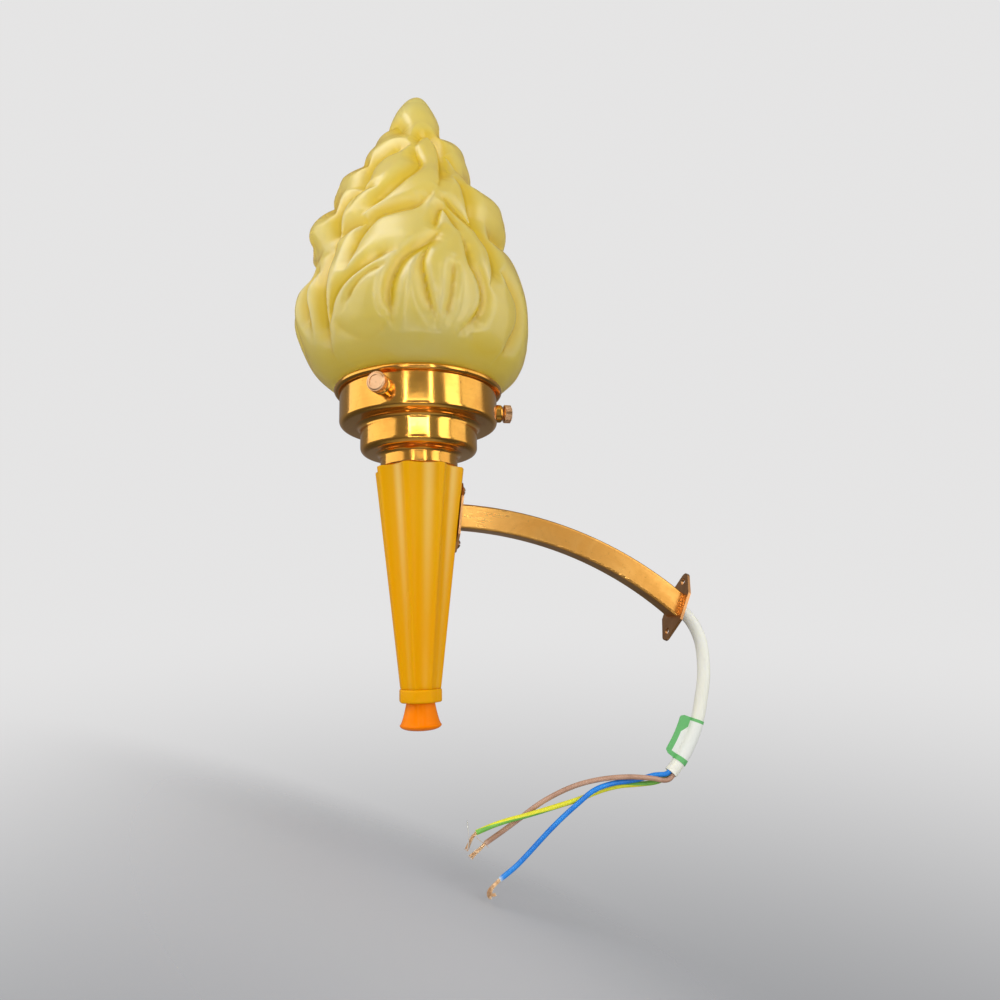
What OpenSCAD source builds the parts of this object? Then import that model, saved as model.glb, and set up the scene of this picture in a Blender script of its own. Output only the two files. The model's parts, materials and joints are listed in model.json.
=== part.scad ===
// Torch wall light: a frosted flame shade held in a stepped metal gallery on a faceted
// handle, carried off the wall by an arched arm of square tube.
// Frame: origin at the centre of the wall plate's back face, +Z up, the wall on the +Y side
// and the torch on the -Y side. Lengths are in millimetres, angles in degrees.

/* [Wall plate] */
// Length of the wall plate, tip to tip
wall_plate_l = 39; // [38:0.5:48]
// Width of the wall plate across its straight sides
wall_plate_w = 22; // [19:0.5:28]
// Thickness of the wall plate
wall_plate_t = 1.5; // [1:0.1:3]
// Straight part of each long side of the wall plate
wall_plate_flat = 15; // [11:0.5:18]
// Rounding at each tip of the wall plate
wall_tip_r = 4; // [3.5:0.25:5]
// Distance between the two wall screw holes
wall_hole_gap = 29; // [27:0.5:30]
// Radius of each wall screw hole
wall_hole_r = 2; // [1.5:0.1:2.2]

/* [Handle plate] */
// Length of the plate that ties the arm to the handle
handle_plate_l = 37; // [36:0.5:40]
// Width of the handle plate
handle_plate_w = 18; // [16:0.5:20]
// Thickness of the handle plate
handle_plate_t = 1.2; // [1:0.1:2]
// Straight part of each long side of the handle plate
handle_plate_flat = 20; // [16:0.5:22]
// Rounding at each tip of the handle plate
handle_tip_r = 3.6; // [3.2:0.1:4]
// Distance between the two handle plate screws
handle_screw_gap = 28; // [26:0.5:29]
// Shank radius of a handle plate screw
plate_screw_r = 1.5; // [1.2:0.1:1.8]
// Length of a handle plate screw below its head
plate_screw_len = 5.2; // [4:0.1:5.6]
// Radius of the domed screw head
plate_head_r = 2.8; // [2.4:0.1:3.2]
// Height of the domed screw head
plate_head_h = 1.9; // [1.2:0.1:2.4]

/* [Arm] */
// Outer width of the square arm tube
arm_w = 12.5; // [12:0.5:14]
// Wall of the arm tube
arm_wall = 1; // [0.8:0.1:1.5]
// Outer corner rounding of the arm tube
arm_corner_r = 1.2; // [1.1:0.1:2]
// Radius of the arch along the middle of the tube
arm_radius = 203; // [180:1:230]
// Slope of the arm where it rises from the wall
wall_slope = 17; // [13:0.25:20]
// Slope of the arm where it comes down to the torch
torch_slope = 19.75; // [16:0.25:23]

/* [Torch] */
// Lean of the torch away from the wall
torch_lean = 23.25; // [19:0.25:27]
// Distance from the rim of the gallery down to the middle of the handle plate
arm_drop = 66; // [64:0.5:80]

/* [Handle] */
// Length of the handle
handle_len = 110.5; // [100:0.5:125]
// Radius of the turned cone at the top of the handle
handle_top_r = 23.6; // [22.5:0.1:24.5]
// Radius of the turned cone at the bottom of the handle
handle_bottom_r = 10.6; // [10.2:0.1:11.5]
// Distance from the axis to the flat that carries the arm, at the top of the handle
flat_top_r = 22.4; // [21.8:0.1:23]
// Distance from the axis to that flat at the bottom of the handle
flat_bottom_r = 9.9; // [9.5:0.1:10.4]
// Distance from the axis to the bottom of each flute at the top of the handle
flute_top_r = 20.4; // [19.6:0.1:22]
// Distance from the axis to the bottom of each flute at the bottom of the handle
flute_bottom_r = 9.4; // [9:0.1:9.8]
// Radius of the cutter that mills the flutes
flute_cutter_r = 15; // [13:0.5:30]
// Wall left between a flat and the hollow of the handle
handle_wall = 5.6; // [5.2:0.1:6.4]
// Solid length at the foot of the handle
handle_foot = 30; // [24:1:36]

/* [Collar and finial] */
// Height of the octagonal collar under the handle
collar_h = 6.4; // [5:0.1:9]
// Radius over the softened corners of the collar
collar_r = 10.9; // [10.6:0.1:11.3]
// Distance from the axis to each flat of the collar
collar_flat_r = 10.3; // [10:0.1:10.5]
// Chamfer round the foot of the collar
collar_chamfer = 0.8; // [0.4:0.1:1.2]
// Height of the finial
finial_h = 13.2; // [11:0.1:16]
// Radius of the finial where it meets the collar
finial_neck_r = 7; // [6.6:0.1:8]
// Radius of the finial's flare
finial_flare_r = 10.3; // [9.4:0.1:11]
// Depth of the hole in the finial that takes the rod
finial_bore_depth = 8.5; // [6:0.1:9]

/* [Gallery] */
// Outer radius of the gallery's rolled rim
rim_r = 44; // [43:0.1:46]
// Radius of the rolled bead itself
bead_r = 1.6; // [1.3:0.1:1.8]
// Outer radius of the gallery wall
gallery_r = 41.2; // [40.6:0.1:41.6]
// Depth of the gallery from the rim's centre to the underside of its floor
gallery_h = 19.1; // [17:0.1:22]
// Rounding between the gallery's wall and floor
gallery_corner = 2.7; // [2:0.1:3]
// Thickness of the spun sheet of the gallery, the step cup and the neck ring
sheet = 0.8; // [0.6:0.1:1]

/* [Step cup and neck ring] */
// Outer radius of the step cup
step_r = 30.4; // [28:0.1:33]
// Height of the step cup
step_h = 14.4; // [12:0.1:17]
// Rounding at the foot of the step cup
step_corner = 3.5; // [2.5:0.1:4.5]
// Outer radius of the neck ring
ring_r = 20; // [18.6:0.1:21]
// Height of the neck ring
ring_h = 8; // [6:0.1:10]
// Rounding at the foot of the neck ring
ring_corner = 1.5; // [1.2:0.1:2.5]
// Radius of the cove at the top of the step cup and of the neck ring
cove = 2.5; // [1.5:0.25:3.5]

/* [Thumb screws] */
// Drop of the thumb screws below the rim's centre
screw_drop = 9; // [8:0.1:10]
// Radius of the screw's shank
screw_r = 2; // [1.6:0.1:2.4]
// Radius of the knurled head
screw_head_r = 4.9; // [4:0.1:5.4]
// Thickness of the knurled head
screw_head_t = 4.4; // [3:0.1:6]
// Teeth around the knurled head
knurl_teeth = 28; // [20:1:36]
// Depth of the knurl
knurl_depth = 0.3; // [0.2:0.05:0.4]
// Radius of the rounded boss on the gallery wall
boss_r = 4.8; // [4:0.1:5.2]
// Height of the boss over the gallery wall
boss_h = 3.9; // [3:0.1:5]
// Gap between the boss and the screw's head
head_gap = 0.6; // [0.4:0.1:1.5]
// Travel of a thumb screw when it is backed out
screw_travel = 4; // [3:0.5:6]

/* [Flame shade] */
// Height of the flame over the rim's centre
flame_h = 177; // [160:1:190]
// Radius of the flame at its widest, seen from the side
bulb_r = 62.5; // [60:0.5:65]
// Outer radius of the plain neck that stands in the gallery
neck_r = 38.8; // [37.5:0.1:39]
// Wall of the glass
glass_wall = 3; // [2.5:0.1:3.5]
// Depth of the folds between the leaves, as a share of the drawn depth
leaf_relief = 1; // [0.6:0.05:1.2]

/* [Lamp holder] */
// Inner radius of the screw shell that takes the lamp's cap
socket_r = 13.4; // [13.3:0.05:13.6]
// Depth of the screw shell
socket_depth = 22; // [20:0.5:26]
// Outer radius of the holder's barrel
holder_r = 19; // [18:0.1:20]
// Height of the holder's barrel
holder_h = 36; // [34:0.5:40]
// Height of the holder's domed cap
holder_cap_h = 14; // [12:0.5:18]

/* [Rod, nut and washer] */
// Outer radius of the hollow rod that ties the stack together
rod_r = 5; // [4.9:0.05:5.2]
// Radius of the rod's bore
rod_bore_r = 4; // [3.8:0.1:4.1]
// Distance across the flats of the rod's nut
nut_flats = 14; // [13:0.5:17]
// Thickness of the nut
nut_t = 4; // [3:0.1:5]
// Thickness of the washer under the nut
washer_t = 0.8; // [0.6:0.1:1]

/* [Cable] */
// Diameter of the sheathed cable
cable_d = 6.8; // [6:0.1:7]
// Diameter of one insulated core
core_d = 2.5; // [2.2:0.1:2.5]
// Diameter of the bare copper of one core
copper_d = 1.7; // [1.2:0.1:1.8]
// Radius of the cable's hole in both plates and in the handle
cable_hole_r = 4.4; // [4.1:0.1:4.6]

/* [Hidden] */
$fn = 96;

// Running clearance of a shank or rod in its hole
fit = 0.05;
// Gap at which one piece stands off another that it doesn't touch
seat_gap = 0.3;
// Overrun of a cutting solid past the faces that it cuts
over = 1;
// Size of a cutting block that removes everything past a plane
far = 80;
// A full turn
turn = 360;

// --- places that follow from the sizes ---

// Angle between a milled flat and the torch's axis
flat_slope = atan((flat_top_r - flat_bottom_r) / handle_len);
floor_top_z = sheet - gallery_h;
step_foot_z = -gallery_h - step_h;
handle_top_z = step_foot_z - ring_h;
handle_foot_z = handle_top_z - handle_len;
collar_foot_z = handle_foot_z - collar_h;
finial_foot_z = collar_foot_z - finial_h;
// Flat's distance from the axis at the height of the handle plate
flat_here_r = flat_top_r - (handle_top_z + arm_drop) * tan(flat_slope);

// Arc of the arm in the YZ plane: its centre, and its two ends on the plates' faces
arc_y = -wall_plate_t - arm_radius * sin(wall_slope);
arc_z = wall_plate_t * tan(wall_slope) - arm_radius * cos(wall_slope);
function arc_point(slope) = [0, arc_y + arm_radius * sin(slope), arc_z + arm_radius * cos(slope)];
arm_end = arc_point(-torch_slope);
plate_face_x = flat_here_r + handle_plate_t * cos(flat_slope);
plate_face_z = -arm_drop - handle_plate_t * sin(flat_slope);
// Centre of the gallery's rim, the origin of the torch's own axes
torch_at = arm_end - [
    0,
    plate_face_x * cos(torch_lean) - plate_face_z * sin(torch_lean),
    plate_face_x * sin(torch_lean) + plate_face_z * cos(torch_lean)
];

// Directions of the three thumb screws around the torch: the wall, and the two sides
screw_angles = [0, 120, -120];

// Puts a piece drawn on the torch's axes, +X to the wall and +Z up the flame, in place
module on_torch() {
    translate(torch_at) rotate([torch_lean, 0, 0]) rotate([0, 0, 90]) children();
}

// A point on the torch's axes, written in the frame of the whole light
function from_torch(p) = torch_at + [
    -p[1],
    p[0] * cos(torch_lean) - p[2] * sin(torch_lean),
    p[0] * sin(torch_lean) + p[2] * cos(torch_lean)
];

// Puts a piece on the handle's flat under the arm: +Z out of the flat, +Y up it
module on_flat() {
    on_torch() translate([flat_here_r, 0, -arm_drop]) rotate([0, 90 + flat_slope, 0])
        rotate([0, 0, 90]) children();
}

// --- shared forms ---

// Bored disc or tube standing on the XY plane
module tube_ring(r, bore, h) {
    difference() {
        cylinder(r = r, h = h);
        translate([0, 0, -over]) cylinder(r = bore, h = h + 2 * over);
    }
}

// Long plate with straight sides and tapered, rounded tips, its length along Y
module tapered_plate(length, width, flat, tip_r, t) {
    centre = length / 2 - tip_r;
    reach = norm([width / 2, flat / 2 - centre]);
    touch = atan2(flat / 2 - centre, width / 2) + acos(tip_r / reach);
    tip = [tip_r * cos(touch), centre + tip_r * sin(touch)];
    linear_extrude(t) polygon([
        [width / 2, -flat / 2], [width / 2, flat / 2], tip, [-tip[0], tip[1]],
        [-width / 2, flat / 2], [-width / 2, -flat / 2], [-tip[0], -tip[1]], [tip[0], -tip[1]]
    ]);
    for (side = [-1, 1]) translate([0, side * centre, 0]) cylinder(r = tip_r, h = t);
}

// Half section of a spun cup that stands on the line y = 0, with a hole in its floor
module cup_section(r, h, corner, hole) {
    difference() {
        cup_outline(r, h, corner);
        translate([0, sheet]) cup_outline(r - sheet, h, corner - sheet);
        translate([-over, -over]) square([hole + over, h + 2 * over]);
    }
}

// Cove that leads from a cup's wall, at radius r, to the underside above it, at height h
module cove_section(r, h) {
    edge = 0.2;
    translate([0, h - cove - edge]) difference() {
        translate([r - sheet, 0]) square([sheet + cove, cove + edge]);
        translate([r + cove, 0]) circle(cove);
    }
}

module cup_outline(r, h, corner) {
    square([r - corner, h]);
    translate([0, corner]) square([r, h - corner]);
    translate([r - corner, corner]) circle(corner);
}

// Square with rounded corners, centred
module round_square(w, r) {
    square([w - 2 * r, w], center = true);
    square([w, w - 2 * r], center = true);
    for (x = [-1, 1], y = [-1, 1]) translate([x, y] * (w / 2 - r)) circle(r);
}

// Hexagonal nut standing on the XY plane
module nut(flats, bore, h) {
    difference() {
        cylinder(r = flats / 2 / cos(30), h = h, $fn = 6);
        translate([0, 0, -over]) cylinder(r = bore, h = h + 2 * over);
    }
}

// --- swept tubes ---

function unit(v) = v / norm(v);

// Direction of a path at its point i, halfway between the runs that meet there
function along(path, i) =
    let (last = len(path) - 1)
    unit(path[min(i + 1, last)] - path[max(i - 1, 0)]);

// Ring of n points, radius r, round p and square to the direction d
function ring_at(p, d, r, n) =
    let (a = unit([1, 0, 0] - d[0] * d), b = cross(d, a))
    [for (k = [0:n - 1]) p + r * (cos(turn * k / n) * a + sin(turn * k / n) * b)];

// Sides of a tube of rings of n points, from the ring first to the ring last
function side_faces(first, last, n) = [
    for (i = [first:last - 1], k = [0:n - 1])
        let (a = i * n + k, b = i * n + (k + 1) % n)
        each [[a, b, b + n], [a, b + n, a + n]]
];

// Rod of radius r along a path; first and last give the directions of its two ends
module rope(path, r, n, first, last) {
    top = len(path) - 1;
    points = [
        for (i = [0:top])
            each ring_at(path[i], i == 0 ? first : i == top ? last : along(path, i), r, n)
    ];
    polyhedron(
        points,
        concat(
            [[for (k = [0:n - 1]) k]],
            [for (f = side_faces(0, top, n)) [f[2], f[1], f[0]]],
            [[for (k = [n - 1:-1:0]) top * n + k]]
        )
    );
}

// --- wall plate, arm and handle plate ---

module wall_plate() {
    color("peru") difference() {
        rotate([90, 0, 0])
            tapered_plate(wall_plate_l, wall_plate_w, wall_plate_flat, wall_tip_r, wall_plate_t);
        for (z = [-1, 0, 1])
            translate([0, over, z * wall_hole_gap / 2]) rotate([90, 0, 0])
                cylinder(r = z == 0 ? cable_hole_r : wall_hole_r, h = wall_plate_t + 2 * over);
    }
}

module arm_tube() {
    // Turn by which the arc is drawn past each plate before it is cut
    spare = 4;
    color("darkgoldenrod") difference() {
        translate([0, arc_y, arc_z]) rotate([90, 0, 90])
            rotate([0, 0, 90 - wall_slope - spare])
                rotate_extrude(angle = wall_slope + torch_slope + 2 * spare)
                    translate([arm_radius, 0]) difference() {
                        round_square(arm_w, arm_corner_r);
                        round_square(arm_w - 2 * arm_wall, arm_corner_r - arm_wall);
                    }
        translate([-far / 2, -wall_plate_t, -far / 2]) cube(far);
        on_flat() translate([-far / 2, -far / 2, handle_plate_t - far]) cube(far);
    }
}

module handle_plate() {
    color("peru") on_flat() difference() {
        tapered_plate(
            handle_plate_l, handle_plate_w, handle_plate_flat, handle_tip_r, handle_plate_t
        );
        translate([0, 0, -over]) cylinder(r = cable_hole_r, h = handle_plate_t + 2 * over);
        for (y = [-1, 1]) translate([0, y * handle_screw_gap / 2, -over])
            cylinder(r = plate_screw_r + fit, h = handle_plate_t + 2 * over);
    }
}

module handle_plate_screws() {
    dome_r = (plate_head_r * plate_head_r + plate_head_h * plate_head_h) / (2 * plate_head_h);
    // Width of the screwdriver slot
    slot_w = 0.8;
    color("sienna") on_flat() for (y = [-1, 1])
        translate([0, y * handle_screw_gap / 2, handle_plate_t]) {
            translate([0, 0, -plate_screw_len]) cylinder(r = plate_screw_r, h = plate_screw_len);
            difference() {
                intersection() {
                    translate([0, 0, plate_head_h - dome_r]) sphere(dome_r);
                    cylinder(r = plate_head_r + over, h = plate_head_h + over);
                }
                translate([-far / 2, -slot_w / 2, plate_head_h / 2]) cube([far, slot_w, far]);
            }
        }
}

// --- handle, collar and finial ---

// Handle: a turned cone with one milled flat for the arm's plate, and seven flutes
module handle() {
    flute_slope = atan((flute_top_r - flute_bottom_r) / handle_len);
    cavity_top_r = flat_top_r - handle_wall;
    cavity_h = handle_len - handle_foot;
    cavity_foot_r = cavity_top_r - cavity_h * tan(flat_slope);
    color("goldenrod") difference() {
        on_torch() difference() {
            translate([0, 0, handle_foot_z])
                cylinder(r1 = handle_bottom_r, r2 = handle_top_r, h = handle_len);
            translate([flat_top_r, 0, handle_top_z]) rotate([0, flat_slope, 0])
                translate([0, -far / 2, -2 * far]) cube([far, far, 3 * far]);
            for (k = [1:7]) rotate([0, 0, k * turn / 8])
                translate([flute_top_r, 0, handle_top_z]) rotate([0, flute_slope, 0])
                    translate([flute_cutter_r, 0, -2 * far])
                        cylinder(r = flute_cutter_r, h = 3 * far);
            translate([0, 0, handle_top_z - cavity_h])
                cylinder(r1 = cavity_foot_r, r2 = cavity_top_r, h = cavity_h);
            translate([0, 0, handle_top_z - over]) cylinder(r = cavity_top_r, h = 2 * over);
            translate([0, 0, handle_foot_z - over])
                cylinder(r = rod_r + fit, h = handle_len + over);
        }
        on_flat() translate([0, 0, over - 2 * handle_wall])
            cylinder(r = cable_hole_r, h = 2 * handle_wall);
        on_flat() for (y = [-1, 1])
            translate([0, y * handle_screw_gap / 2, handle_plate_t - plate_screw_len - seat_gap])
                cylinder(r = plate_screw_r + fit, h = plate_screw_len + over);
    }
}

module handle_collar() {
    color("goldenrod") on_torch() translate([0, 0, collar_foot_z]) difference() {
        intersection() {
            rotate([0, 0, turn / 16])
                cylinder(r = collar_flat_r / cos(turn / 16), h = collar_h, $fn = 8);
            union() {
                cylinder(r1 = collar_r - collar_chamfer, r2 = collar_r, h = collar_chamfer);
                translate([0, 0, collar_chamfer])
                    cylinder(r = collar_r, h = collar_h - collar_chamfer);
            }
        }
        translate([0, 0, -over]) cylinder(r = rod_r + fit, h = collar_h + 2 * over);
    }
}

// Flared finial with a rounded foot, bored from above for the rod
module finial() {
    // Height of the rounded foot below the flare
    foot_h = 2.4;
    // Radius of the flat middle of the foot
    foot_flat_r = 4;
    waist = 0.35;
    color("orange") on_torch() translate([0, 0, finial_foot_z]) rotate_extrude() difference() {
        polygon(concat(
            [[0, 0]],
            [for (a = [0:10:90]) [
                foot_flat_r + (finial_flare_r - foot_flat_r) * sin(a), foot_h * (1 - cos(a))
            ]],
            [for (s = [0.1:0.1:1]) [
                finial_flare_r - (finial_flare_r - finial_neck_r) * pow(s, 1 - waist),
                foot_h + (finial_h - foot_h) * s
            ]],
            [[0, finial_h]]
        ));
        translate([-over, finial_h - finial_bore_depth])
            square([rod_r + fit + over, finial_bore_depth + over]);
    }
}

// --- rod, nut and washer ---

rod_foot_z = collar_foot_z - finial_bore_depth + seat_gap;
washer_z = floor_top_z;
nut_z = washer_z + washer_t;
cap_z = nut_z + nut_t;
// The rod ends inside the holder's cap
rod_top_z = cap_z + holder_cap_h * 0.6;
// Height at which the cable enters the handle, on the torch's axis
entry_z = plate_face_z + plate_face_x * tan(torch_lean - torch_slope);

// Hollow rod with a window for the cores where the cable enters the handle
module stem_rod() {
    window_w = 6.4;
    window_below = 4.5;
    window_above = 8.5;
    color("silver") on_torch() difference() {
        translate([0, 0, rod_foot_z]) tube_ring(rod_r, rod_bore_r, rod_top_z - rod_foot_z);
        translate([0, -window_w / 2, entry_z - window_below])
            cube([rod_r + over, window_w, window_below + window_above]);
    }
}

module stem_washer() {
    washer_r = 11;
    color("silver") on_torch() translate([0, 0, washer_z])
        tube_ring(washer_r, rod_r + fit, washer_t);
}

module stem_nut() {
    color("silver") on_torch() translate([0, 0, nut_z]) nut(nut_flats, rod_r + fit, nut_t);
}

// --- gallery, step cup, neck ring and screw bosses ---

module neck_ring() {
    color("orange") on_torch() translate([0, 0, handle_top_z]) rotate_extrude() {
        cup_section(ring_r, ring_h, ring_corner, rod_r + fit);
        cove_section(ring_r, ring_h);
    }
}

module step_cup() {
    color("orange") on_torch() translate([0, 0, step_foot_z]) rotate_extrude() {
        cup_section(step_r, step_h, step_corner, rod_r + fit);
        cove_section(step_r, step_h);
    }
}

// Outward direction of a thumb screw, drawn along +Z from the torch's axis
module on_screw(angle) {
    on_torch() translate([0, 0, -screw_drop]) rotate([0, 0, angle]) rotate([0, 90, 0]) children();
}

module gallery() {
    color("orange") difference() {
        on_torch() rotate_extrude() {
            translate([0, -gallery_h])
                cup_section(gallery_r, gallery_h, gallery_corner, rod_r + fit);
            translate([rim_r - bead_r, 0]) circle(bead_r);
        }
        for (angle = screw_angles) on_screw(angle) cylinder(r = screw_r + fit, h = rim_r + over);
    }
}

// Three rounded bosses on the gallery wall that the thumb screws run through
module screw_bosses() {
    round_r = 1.4;
    color("orange") for (angle = screw_angles) difference() {
        on_screw(angle) rotate_extrude() difference() {
            union() {
                square([boss_r, gallery_r + boss_h - round_r]);
                square([boss_r - round_r, gallery_r + boss_h]);
                translate([boss_r - round_r, gallery_r + boss_h - round_r]) circle(round_r);
            }
            translate([-over, -over]) square([screw_r + fit + over, far]);
        }
        on_torch() translate([0, 0, -gallery_h - over]) cylinder(r = gallery_r, h = 2 * gallery_h);
    }
}

// --- thumb screws ---

// Radial places of a thumb screw, from the torch's axis
tip_at = neck_r + seat_gap;
head_at = gallery_r + boss_h + head_gap;

module thumb_screw(angle) {
    chamfer = 0.5;
    recess = 0.4;
    rim_w = 1.2;
    head_root = 2;
    face_r = screw_head_r - knurl_depth - 0.2;
    step = turn / knurl_teeth;
    color("chocolate") on_screw(angle) {
        translate([0, 0, tip_at]) cylinder(r = screw_r, h = head_at + head_root - tip_at);
        translate([0, 0, head_at]) difference() {
            union() {
                cylinder(r1 = face_r - chamfer, r2 = face_r, h = chamfer);
                translate([0, 0, chamfer]) linear_extrude(screw_head_t - 2 * chamfer) polygon([
                    for (k = [0:knurl_teeth - 1], half = [0, 1])
                        let (r = screw_head_r - half * knurl_depth, a = (k + half / 2) * step)
                        r * [cos(a), sin(a)]
                ]);
                translate([0, 0, screw_head_t - chamfer])
                    cylinder(r1 = face_r, r2 = face_r - chamfer, h = chamfer);
            }
            translate([0, 0, screw_head_t - recess])
                cylinder(r = face_r - rim_w, h = recess + over);
        }
    }
}

// --- flame shade ---

// The flame is drawn by hand at this height and girth, and scaled to the sizes above
drawn_h = 177;
drawn_r = 62.5;

// Outline: height over the rim, then the radius at angle 0, at -90 and at +90. Angle 0 faces
// one side of the light, and +90 is close to the wall.
flame_outline = [
    [3, 44.5, 44.5, 44.5], [5, 48, 48, 47.5], [12, 55, 55.5, 54.5], [24, 60.5, 62, 59],
    [36, 62.5, 65.5, 60], [46, 62, 64, 59.5], [57, 59.5, 58, 57], [67, 56, 54.5, 53],
    [78, 53, 60, 46.5], [88, 51, 56.5, 49], [98, 47.5, 49, 48], [112, 39, 45, 31],
    [126, 32, 35, 30], [137, 26.5, 26, 27], [148, 20.5, 22.5, 17], [158, 16, 15.5, 12.5],
    [167, 11, 11, 8.5], [173, 6, 6, 5]
];

// Folds between the leaves. Each holds its depth and its half width, then the points of its
// line, each [angle, height]. Half a turn round, the folds repeat.
flame_folds = [
    [5, 9, [[-36, 86], [-34, 98], [-35, 108], [-32, 115], [-27, 119], [-18, 122], [-8, 125]]],
    [5, 8, [[-48, 62], [-46, 74], [-43, 84], [-38, 89], [-33, 91], [-27, 91]]],
    [5, 8, [[-30, 75], [-16, 88], [-8, 96], [-2, 102], [2, 110], [-1, 118], [-2, 125]]],
    [6, 7, [[-2, 125], [2, 132], [10, 136], [18, 133], [22, 126], [20, 114], [12, 93]]],
    [5, 7, [[7, 85], [-1, 78], [-12, 75], [-22, 72], [-29, 64], [-32, 53], [-34, 42]]],
    [3.5, 7, [[-47, 66], [-40, 69], [-32, 70], [-23, 70]]],
    [6, 9, [[-48, 66], [-47, 50], [-47, 36], [-49, 22], [-51, 12]]],
    [5, 9, [[-52, 50], [-60, 49], [-64, 43], [-64, 34], [-62, 24]]],
    [4.5, 7, [[12, 65], [7, 58], [0, 52], [-6, 47], [-10, 40], [-13, 30], [-13, 17]]],
    [4, 7, [[-8, 50], [-15, 49], [-26, 43], [-35, 37], [-42, 29], [-47, 18]]],
    [2.5, 6, [[-13, 42], [-22, 40], [-29, 34], [-34, 26]]],
    [3.5, 6, [[11, 61], [5, 53], [2, 44], [3, 35], [5, 26], [8, 18]]],
    [4, 7, [[21, 64], [23, 56], [24, 47], [28, 39], [30, 31], [28, 23], [21, 15]]],
    [3, 5, [[14, 39], [13, 28], [13, 18]]],
    [2.5, 5, [[17, 41], [20, 32], [15, 22]]],
    [5, 8, [[22, 103], [28, 96], [30, 86], [33, 70], [38, 60], [38, 50], [35, 40]]],
    [4.5, 8, [[42, 50], [50, 43], [57, 35], [57, 24], [50, 9]]],
    [4, 7, [[13, 86], [22, 79], [33, 73], [41, 68]]],
    [3.5, 6, [[8, 62], [10, 71], [13, 78], [17, 73], [21, 64]]],
    [3.5, 6, [[23, 101], [25, 112], [28, 122], [33, 118], [36, 108]]],
    [5, 9, [[-110, 152], [-90, 150], [-60, 151], [-40, 148], [-22, 140], [-10, 135]]],
    [5, 10, [[-62, 50], [-75, 58], [-90, 67], [-108, 70]]],
    [5, 10, [[-46, 78], [-58, 90], [-72, 97], [-90, 99], [-108, 96]]],
    [4.5, 9, [[-35, 110], [-55, 119], [-72, 126], [-90, 131], [-108, 130]]],
    [5, 9, [[41, 68], [55, 74], [75, 78], [90, 79], [108, 74]]],
    [5, 9, [[33, 100], [50, 105], [70, 110], [90, 113], [108, 108]]],
    [4.5, 8, [[20, 134], [40, 142], [65, 148], [90, 151], [110, 148]]],
    [4, 9, [[-84, 66], [-80, 50], [-82, 34], [-86, 18]]],
    [4, 9, [[80, 78], [76, 60], [80, 42], [84, 22]]]
];
// Direction in which flame angle 0 lies, on the torch's axes
flame_zero = -96;
// Share of a fold's length over which it fades at each end, and the depth left at its ends
fold_fade = 0.22;
fold_end = 0.35;
// Sharpness of a fold: 1 is a plain V, more rounds the leaves on both sides
fold_power = 1.7;

function smooth(x) = let (c = max(0, min(1, x))) c * c * (3 - 2 * c);
function wrap(a) = a - turn * round(a / turn);

// Slope of column c of the outline at its row i
function outline_slope(i, c) =
    let (a = flame_outline[max(i - 1, 0)], b = flame_outline[min(i + 1, len(flame_outline) - 1)])
    (b[c] - a[c]) / (b[0] - a[0]);

// Radius in column c of the outline at a drawn height
function outline_r(z, c) =
    let (last = len(flame_outline) - 1)
    z >= flame_outline[last][0]
    ? flame_outline[last][c]
        * sqrt(max(0, 1 - pow((z - flame_outline[last][0]) / (drawn_h - flame_outline[last][0]), 2)))
    : let (
        i = max([for (k = [0:last - 1]) flame_outline[k][0] <= z ? k : 0]),
        a = flame_outline[i], b = flame_outline[i + 1], w = b[0] - a[0],
        s = max(0, (z - a[0]) / w), q = s * s * (3 - 2 * s)
    )
    a[c] * (1 - q) + b[c] * q
        + w * (outline_slope(i, c) * s * (1 - s) * (1 - s) - outline_slope(i + 1, c) * s * s * (1 - s));

// Drawn radius of the flame without its folds
function body_r(angle, z) =
    let (side = sin(angle), middle = outline_r(z, 1))
    middle + (outline_r(z, side < 0 ? 2 : 3) - middle) * side * side;

// Lengths along a fold's line up to each of its points, on a scale close to millimetres
function run(points, i) =
    i == 0 ? 0 : run(points, i - 1)
        + norm([(points[i][0] - points[i - 1][0]) * 0.8, points[i][1] - points[i - 1][1]]);

// Depth of one fold at an angle and a drawn height; k is the arc length of one degree there
function fold_depth(fold, angle, z, k) =
    let (
        points = fold[2], last = len(points) - 1, total = run(points, last),
        depths = [
            for (i = [0:last - 1])
                let (
                    a = [wrap(points[i][0] - angle) * k, points[i][1] - z],
                    b = [wrap(points[i + 1][0] - angle) * k, points[i + 1][1] - z],
                    d = b - a, t = max(0, min(1, -(a * d) / (d * d))), gap = norm(a + t * d)
                )
                if (gap < fold[1] && abs(a[0] - b[0]) < 90 * k)
                    let (
                        at = run(points, i) + t * norm([(points[i + 1][0] - points[i][0]) * 0.8,
                            points[i + 1][1] - points[i][1]]),
                        fade = smooth(min(at, total - at) / (fold_fade * total))
                    )
                    fold[0] * (fold_end + (1 - fold_end) * fade) * pow(1 - gap / fold[1], fold_power)
        ]
    )
    len(depths) == 0 ? 0 : max(depths);

// Depth of the deepest fold at an angle and a drawn height
function folds_at(angle, z) =
    let (
        k = PI / 180 * max(6, outline_r(z, 1)),
        near = [
            for (fold = flame_folds, half = [0, 1])
                let (a = wrap(angle + half * turn / 2), f = fold[2], reach = fold[1] / k,
                    lows = min([for (p = f) p[1]]) - fold[1], tops = max([for (p = f) p[1]]) + fold[1],
                    left = min([for (p = f) p[0]]) - reach, right = max([for (p = f) p[0]]) + reach)
                if (z > lows && z < tops && wrap(a - left) + (wrap(a - left) < 0 ? turn : 0) < right - left)
                    fold_depth(fold, a, z, k)
        ]
    )
    len(near) == 0 ? 0 : max(near);

// Radius of the flame, folds included, where the depth of its folds is known
function flame_r(angle, z, depth) =
    bulb_r / drawn_r * (body_r(angle, z)
        - leaf_relief * depth * smooth((z - 2) / 14) * min(1, (drawn_h - z) / 15));

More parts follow.
